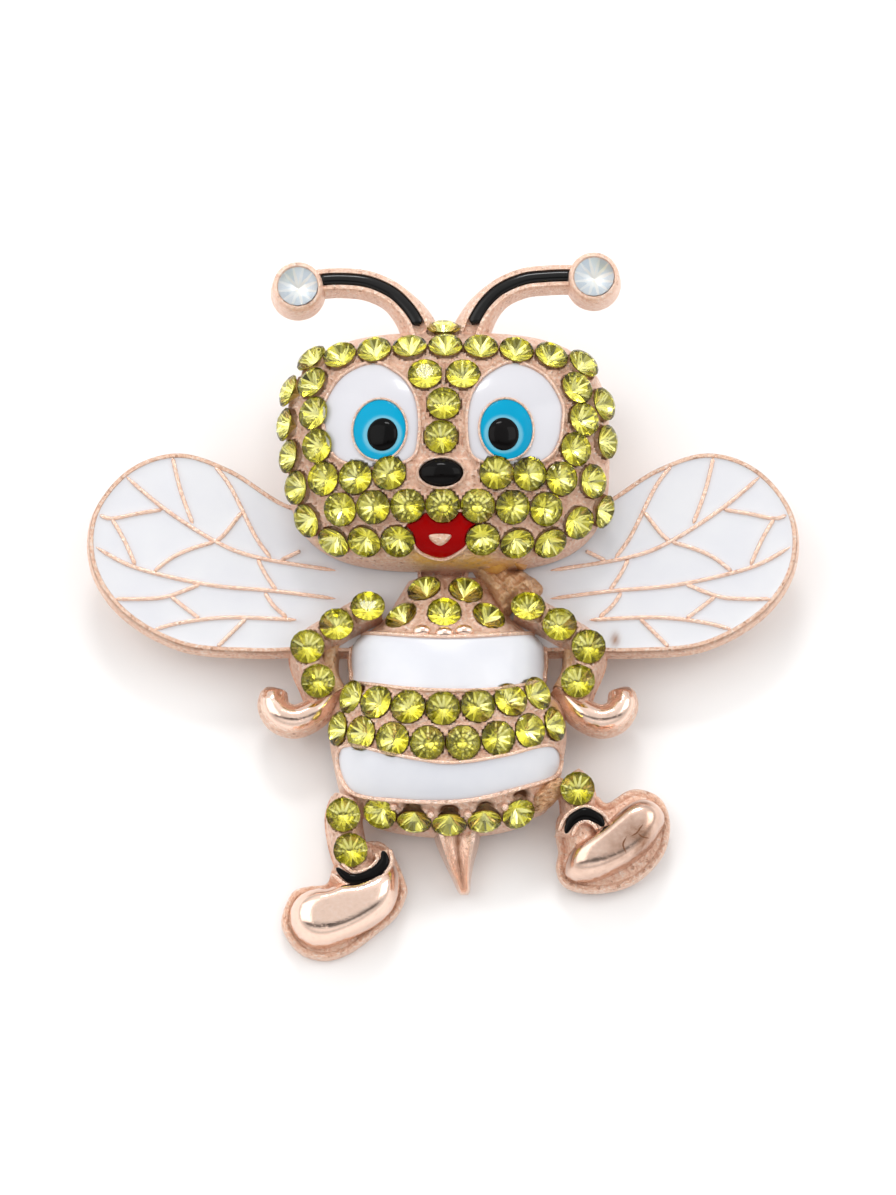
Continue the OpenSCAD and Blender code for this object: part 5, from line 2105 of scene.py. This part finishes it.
@dataclass
class Pin:
    """The brooch pin on the back: a bar, a hinge block, a catch and a wire."""

    length: float = 29.0
    y: float = 5.6
    height: float = 3.8
    width: float = 3.0
    bar_t: float = 0.7
    foot: float = 2.4
    wire_d: float = 0.8
    gap: float = 0.06

    def block(self, form: Form, low: tuple, high: tuple, round_by: float) -> None:
        """Adds a block with rounded edges.

        Args:
            form: The pin's metal.
            low: Its lowest corner.
            high: Its highest corner.
            round_by: How far its edges are rounded.
        """
        middle, size = (Vector(low) + Vector(high)) / 2, Vector(high) - Vector(low)
        made = bmesh.ops.create_cube(form.bm, size=1.0)["verts"]
        bmesh.ops.transform(form.bm, verts=made,
                            matrix=Matrix.Translation(middle) @ Matrix.Diagonal((*size, 1)))
        edges = list({e for v in made for e in v.link_edges})
        bmesh.ops.bevel(form.bm, geom=edges, offset=round_by, offset_type="OFFSET", affect="EDGES",
                        segments=3, profile=0.5, material=-1)

    def build(self) -> None:
        """Builds the pin."""
        form = Form()
        half, w = self.length / 2, self.width / 2
        top = -self.gap
        self.block(form, (-half, self.y - w, top - self.bar_t), (half, self.y + w, top), 0.18)
        for x in (-half, half - self.foot):
            self.block(form, (x, self.y - w, -self.height),
                       (x + self.foot, self.y + w, top - self.bar_t / 2), 0.3)
        z = -self.height + self.wire_d
        line = np.array([[x, self.y, z] for x in np.linspace(-half + 0.6, half - 0.6, 40)])
        form.wire(line, self.wire_d, self.wire_d, sides=16, taper=0.03, polish=0.9)
        bring("pin_metal", form, (STEEL,), ("pin_back",))


# The studio


@dataclass(frozen=True)
class Studio:
    """The floor, the lights and the camera, sizes in metres and the aim in millimetres."""

    lean_from_top: float = 71.7
    distance: float = 0.6
    view_height: float = 0.08415
    sensor: float = 36.0
    aim_x: float = 0.352
    aim_z: float = 4.0
    aim_off: float = 0.493
    lens_r: float = 0.055
    daylight: float = 1.1
    band_at: float = 0.44
    band: float = 0.18
    band_dark: float = 0.88

    SKY_LOW, SKY_TOP = (0.92, 0.905, 0.89, 1), (0.8, 0.8, 0.8, 1)
    SKY = ((0.12, 0.85), (0.3, 0.62), (0.5, 0.86), (0.66, 1.0), (0.86, 1.0), (0.94, 0.85))
    LAMPS = (("left_box", (-0.40, 0.06, 0.40), (0.60, 0.60), 1.1, (1, 0.99, 0.98)),
             ("right_box", (0.42, 0.10, 0.38), (0.36, 0.36), 0.65, (1, 0.99, 0.98)),
             ("far_box", (-0.02, 0.42, 0.42), (0.16, 0.08), 0.75, (1, 1, 1)))

    @property
    def back(self) -> Vector:
        """The direction from the brooch to the lens."""
        e = math.radians(self.lean_from_top)
        return Vector((0, -math.cos(e), math.sin(e)))

    def camera(self) -> None:
        """Sets the camera at the photograph's angle."""
        e = math.radians(self.lean_from_top)
        v = (-LIE.middle * math.sin(e) + LIE.lift * math.cos(e)) + self.aim_off
        aim = Vector((self.aim_x, (v - self.aim_z * math.cos(e)) / math.sin(e), self.aim_z)) * 0.001
        data = bpy.data.cameras.new("camera")
        data.sensor_width = self.sensor
        data.lens = self.sensor * self.distance / self.view_height
        data.clip_start, data.clip_end = 0.01, 10
        camera = put("camera", data)
        camera.location = aim + self.back * self.distance
        camera.rotation_euler = (-self.back).to_track_quat("-Z", "Y").to_euler()
        bpy.context.scene.camera = camera

    def lamp(self, name: str, place: tuple, size: tuple, power: float, colour: tuple) -> None:
        """Hangs a soft lamp that faces the brooch.

        Args:
            name: Its name.
            place: Where it hangs.
            size: Its width and height.
            power: Its power in watts.
            colour: Its colour.
        """
        data = bpy.data.lights.new(name, "AREA")
        data.shape = "RECTANGLE"
        data.size, data.size_y = size
        data.energy = power
        data.color = colour
        lamp = put(name, data)
        lamp.location = place
        lamp.rotation_euler = (-Vector(place)).to_track_quat("-Z", "Y").to_euler()

    @staticmethod
    def prop(name: str, bm: bmesh.types.BMesh, finish: Finish) -> None:
        """Places a thing that isn't part of the brooch.

        Args:
            name: Its name.
            bm: Its shape.
            finish: Its finish.
        """
        mesh = mesh_of(name, bm)
        mesh.materials.append(finish.material())
        put(name, mesh)

    def world(self) -> None:
        """Lights the room, with a dark band that bright metal mirrors."""
        world = bpy.data.worlds.new("soft_room")
        bpy.context.scene.world = world
        world.use_nodes = True
        w, background = Wiring(world.node_tree), world.node_tree.nodes["Background"]
        sky = w.add("ShaderNodeSeparateXYZ", Vector=w.add("ShaderNodeTexCoord").outputs["Generated"])
        ramp = w.add("ShaderNodeValToRGB", Fac=sky.outputs["Z"])
        ramp.color_ramp.elements[0].color = self.SKY_LOW
        ramp.color_ramp.elements[1].color = self.SKY_TOP
        for position, shade in self.SKY:
            ramp.color_ramp.elements.new(position).color = (shade, shade, shade, 1)
        w.feed(background, "Color", ramp.outputs["Color"])
        across = w.sum("DIVIDE", w.sum("ADD", sky.outputs["Y"], self.band_at), self.band)
        band = w.sum("EXPONENT", w.sum("MULTIPLY", w.sum("MULTIPLY", across, across), -1.0))
        high = w.sum("MULTIPLY_ADD", sky.outputs["Z"], 3.0, -0.9, clamp=True)
        dark = w.sum("MULTIPLY", band, high)
        lit = w.sum("MULTIPLY_ADD", dark, -self.band_dark * self.daylight, self.daylight)
        w.feed(background, "Strength", lit)

    def build(self) -> None:
        """Builds the floor, the room, the lamps and the camera."""
        floor = bmesh.new()
        bmesh.ops.create_grid(floor, x_segments=1, y_segments=1, size=1.5)
        self.prop("floor", floor, Paper("pale_paper"))
        self.world()
        for lamp in self.LAMPS:
            self.lamp(*lamp)
        card = bmesh.new()
        bmesh.ops.create_circle(card, cap_ends=True, segments=40, radius=self.lens_r)
        card.transform(Matrix.Translation(self.back * (self.distance + 0.03))
                       @ self.back.to_track_quat("Z", "Y").to_matrix().to_4x4())
        self.prop("lens_card", card, Paper("lens_black", colour=(0.01, 0.01, 0.01, 1)))
        self.camera()
        bpy.context.scene.view_settings.view_transform = "Standard"


def main() -> None:
    """Builds the brooch piece by piece."""
    logging.basicConfig(level=logging.INFO, format="%(message)s")
    head_seats = Stones("head_stones", CITRINE_FOIL, CITRINE_GLASS, "citrine").build()
    body_seats = Stones("body_stones", CITRINE_FOIL, CITRINE_GLASS, "citrine", seed=23).build()
    for side in ("left", "right"):
        Stones(f"{side}_crystal", CRYSTAL_FOIL, CRYSTAL_GLASS, "crystal", diameter=2.85, seed=5).build()
    Head(head_seats).build()
    Body(body_seats).build()
    Pin().build()
    Studio().build()
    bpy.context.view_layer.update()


if __name__ == "__main__":
    main()
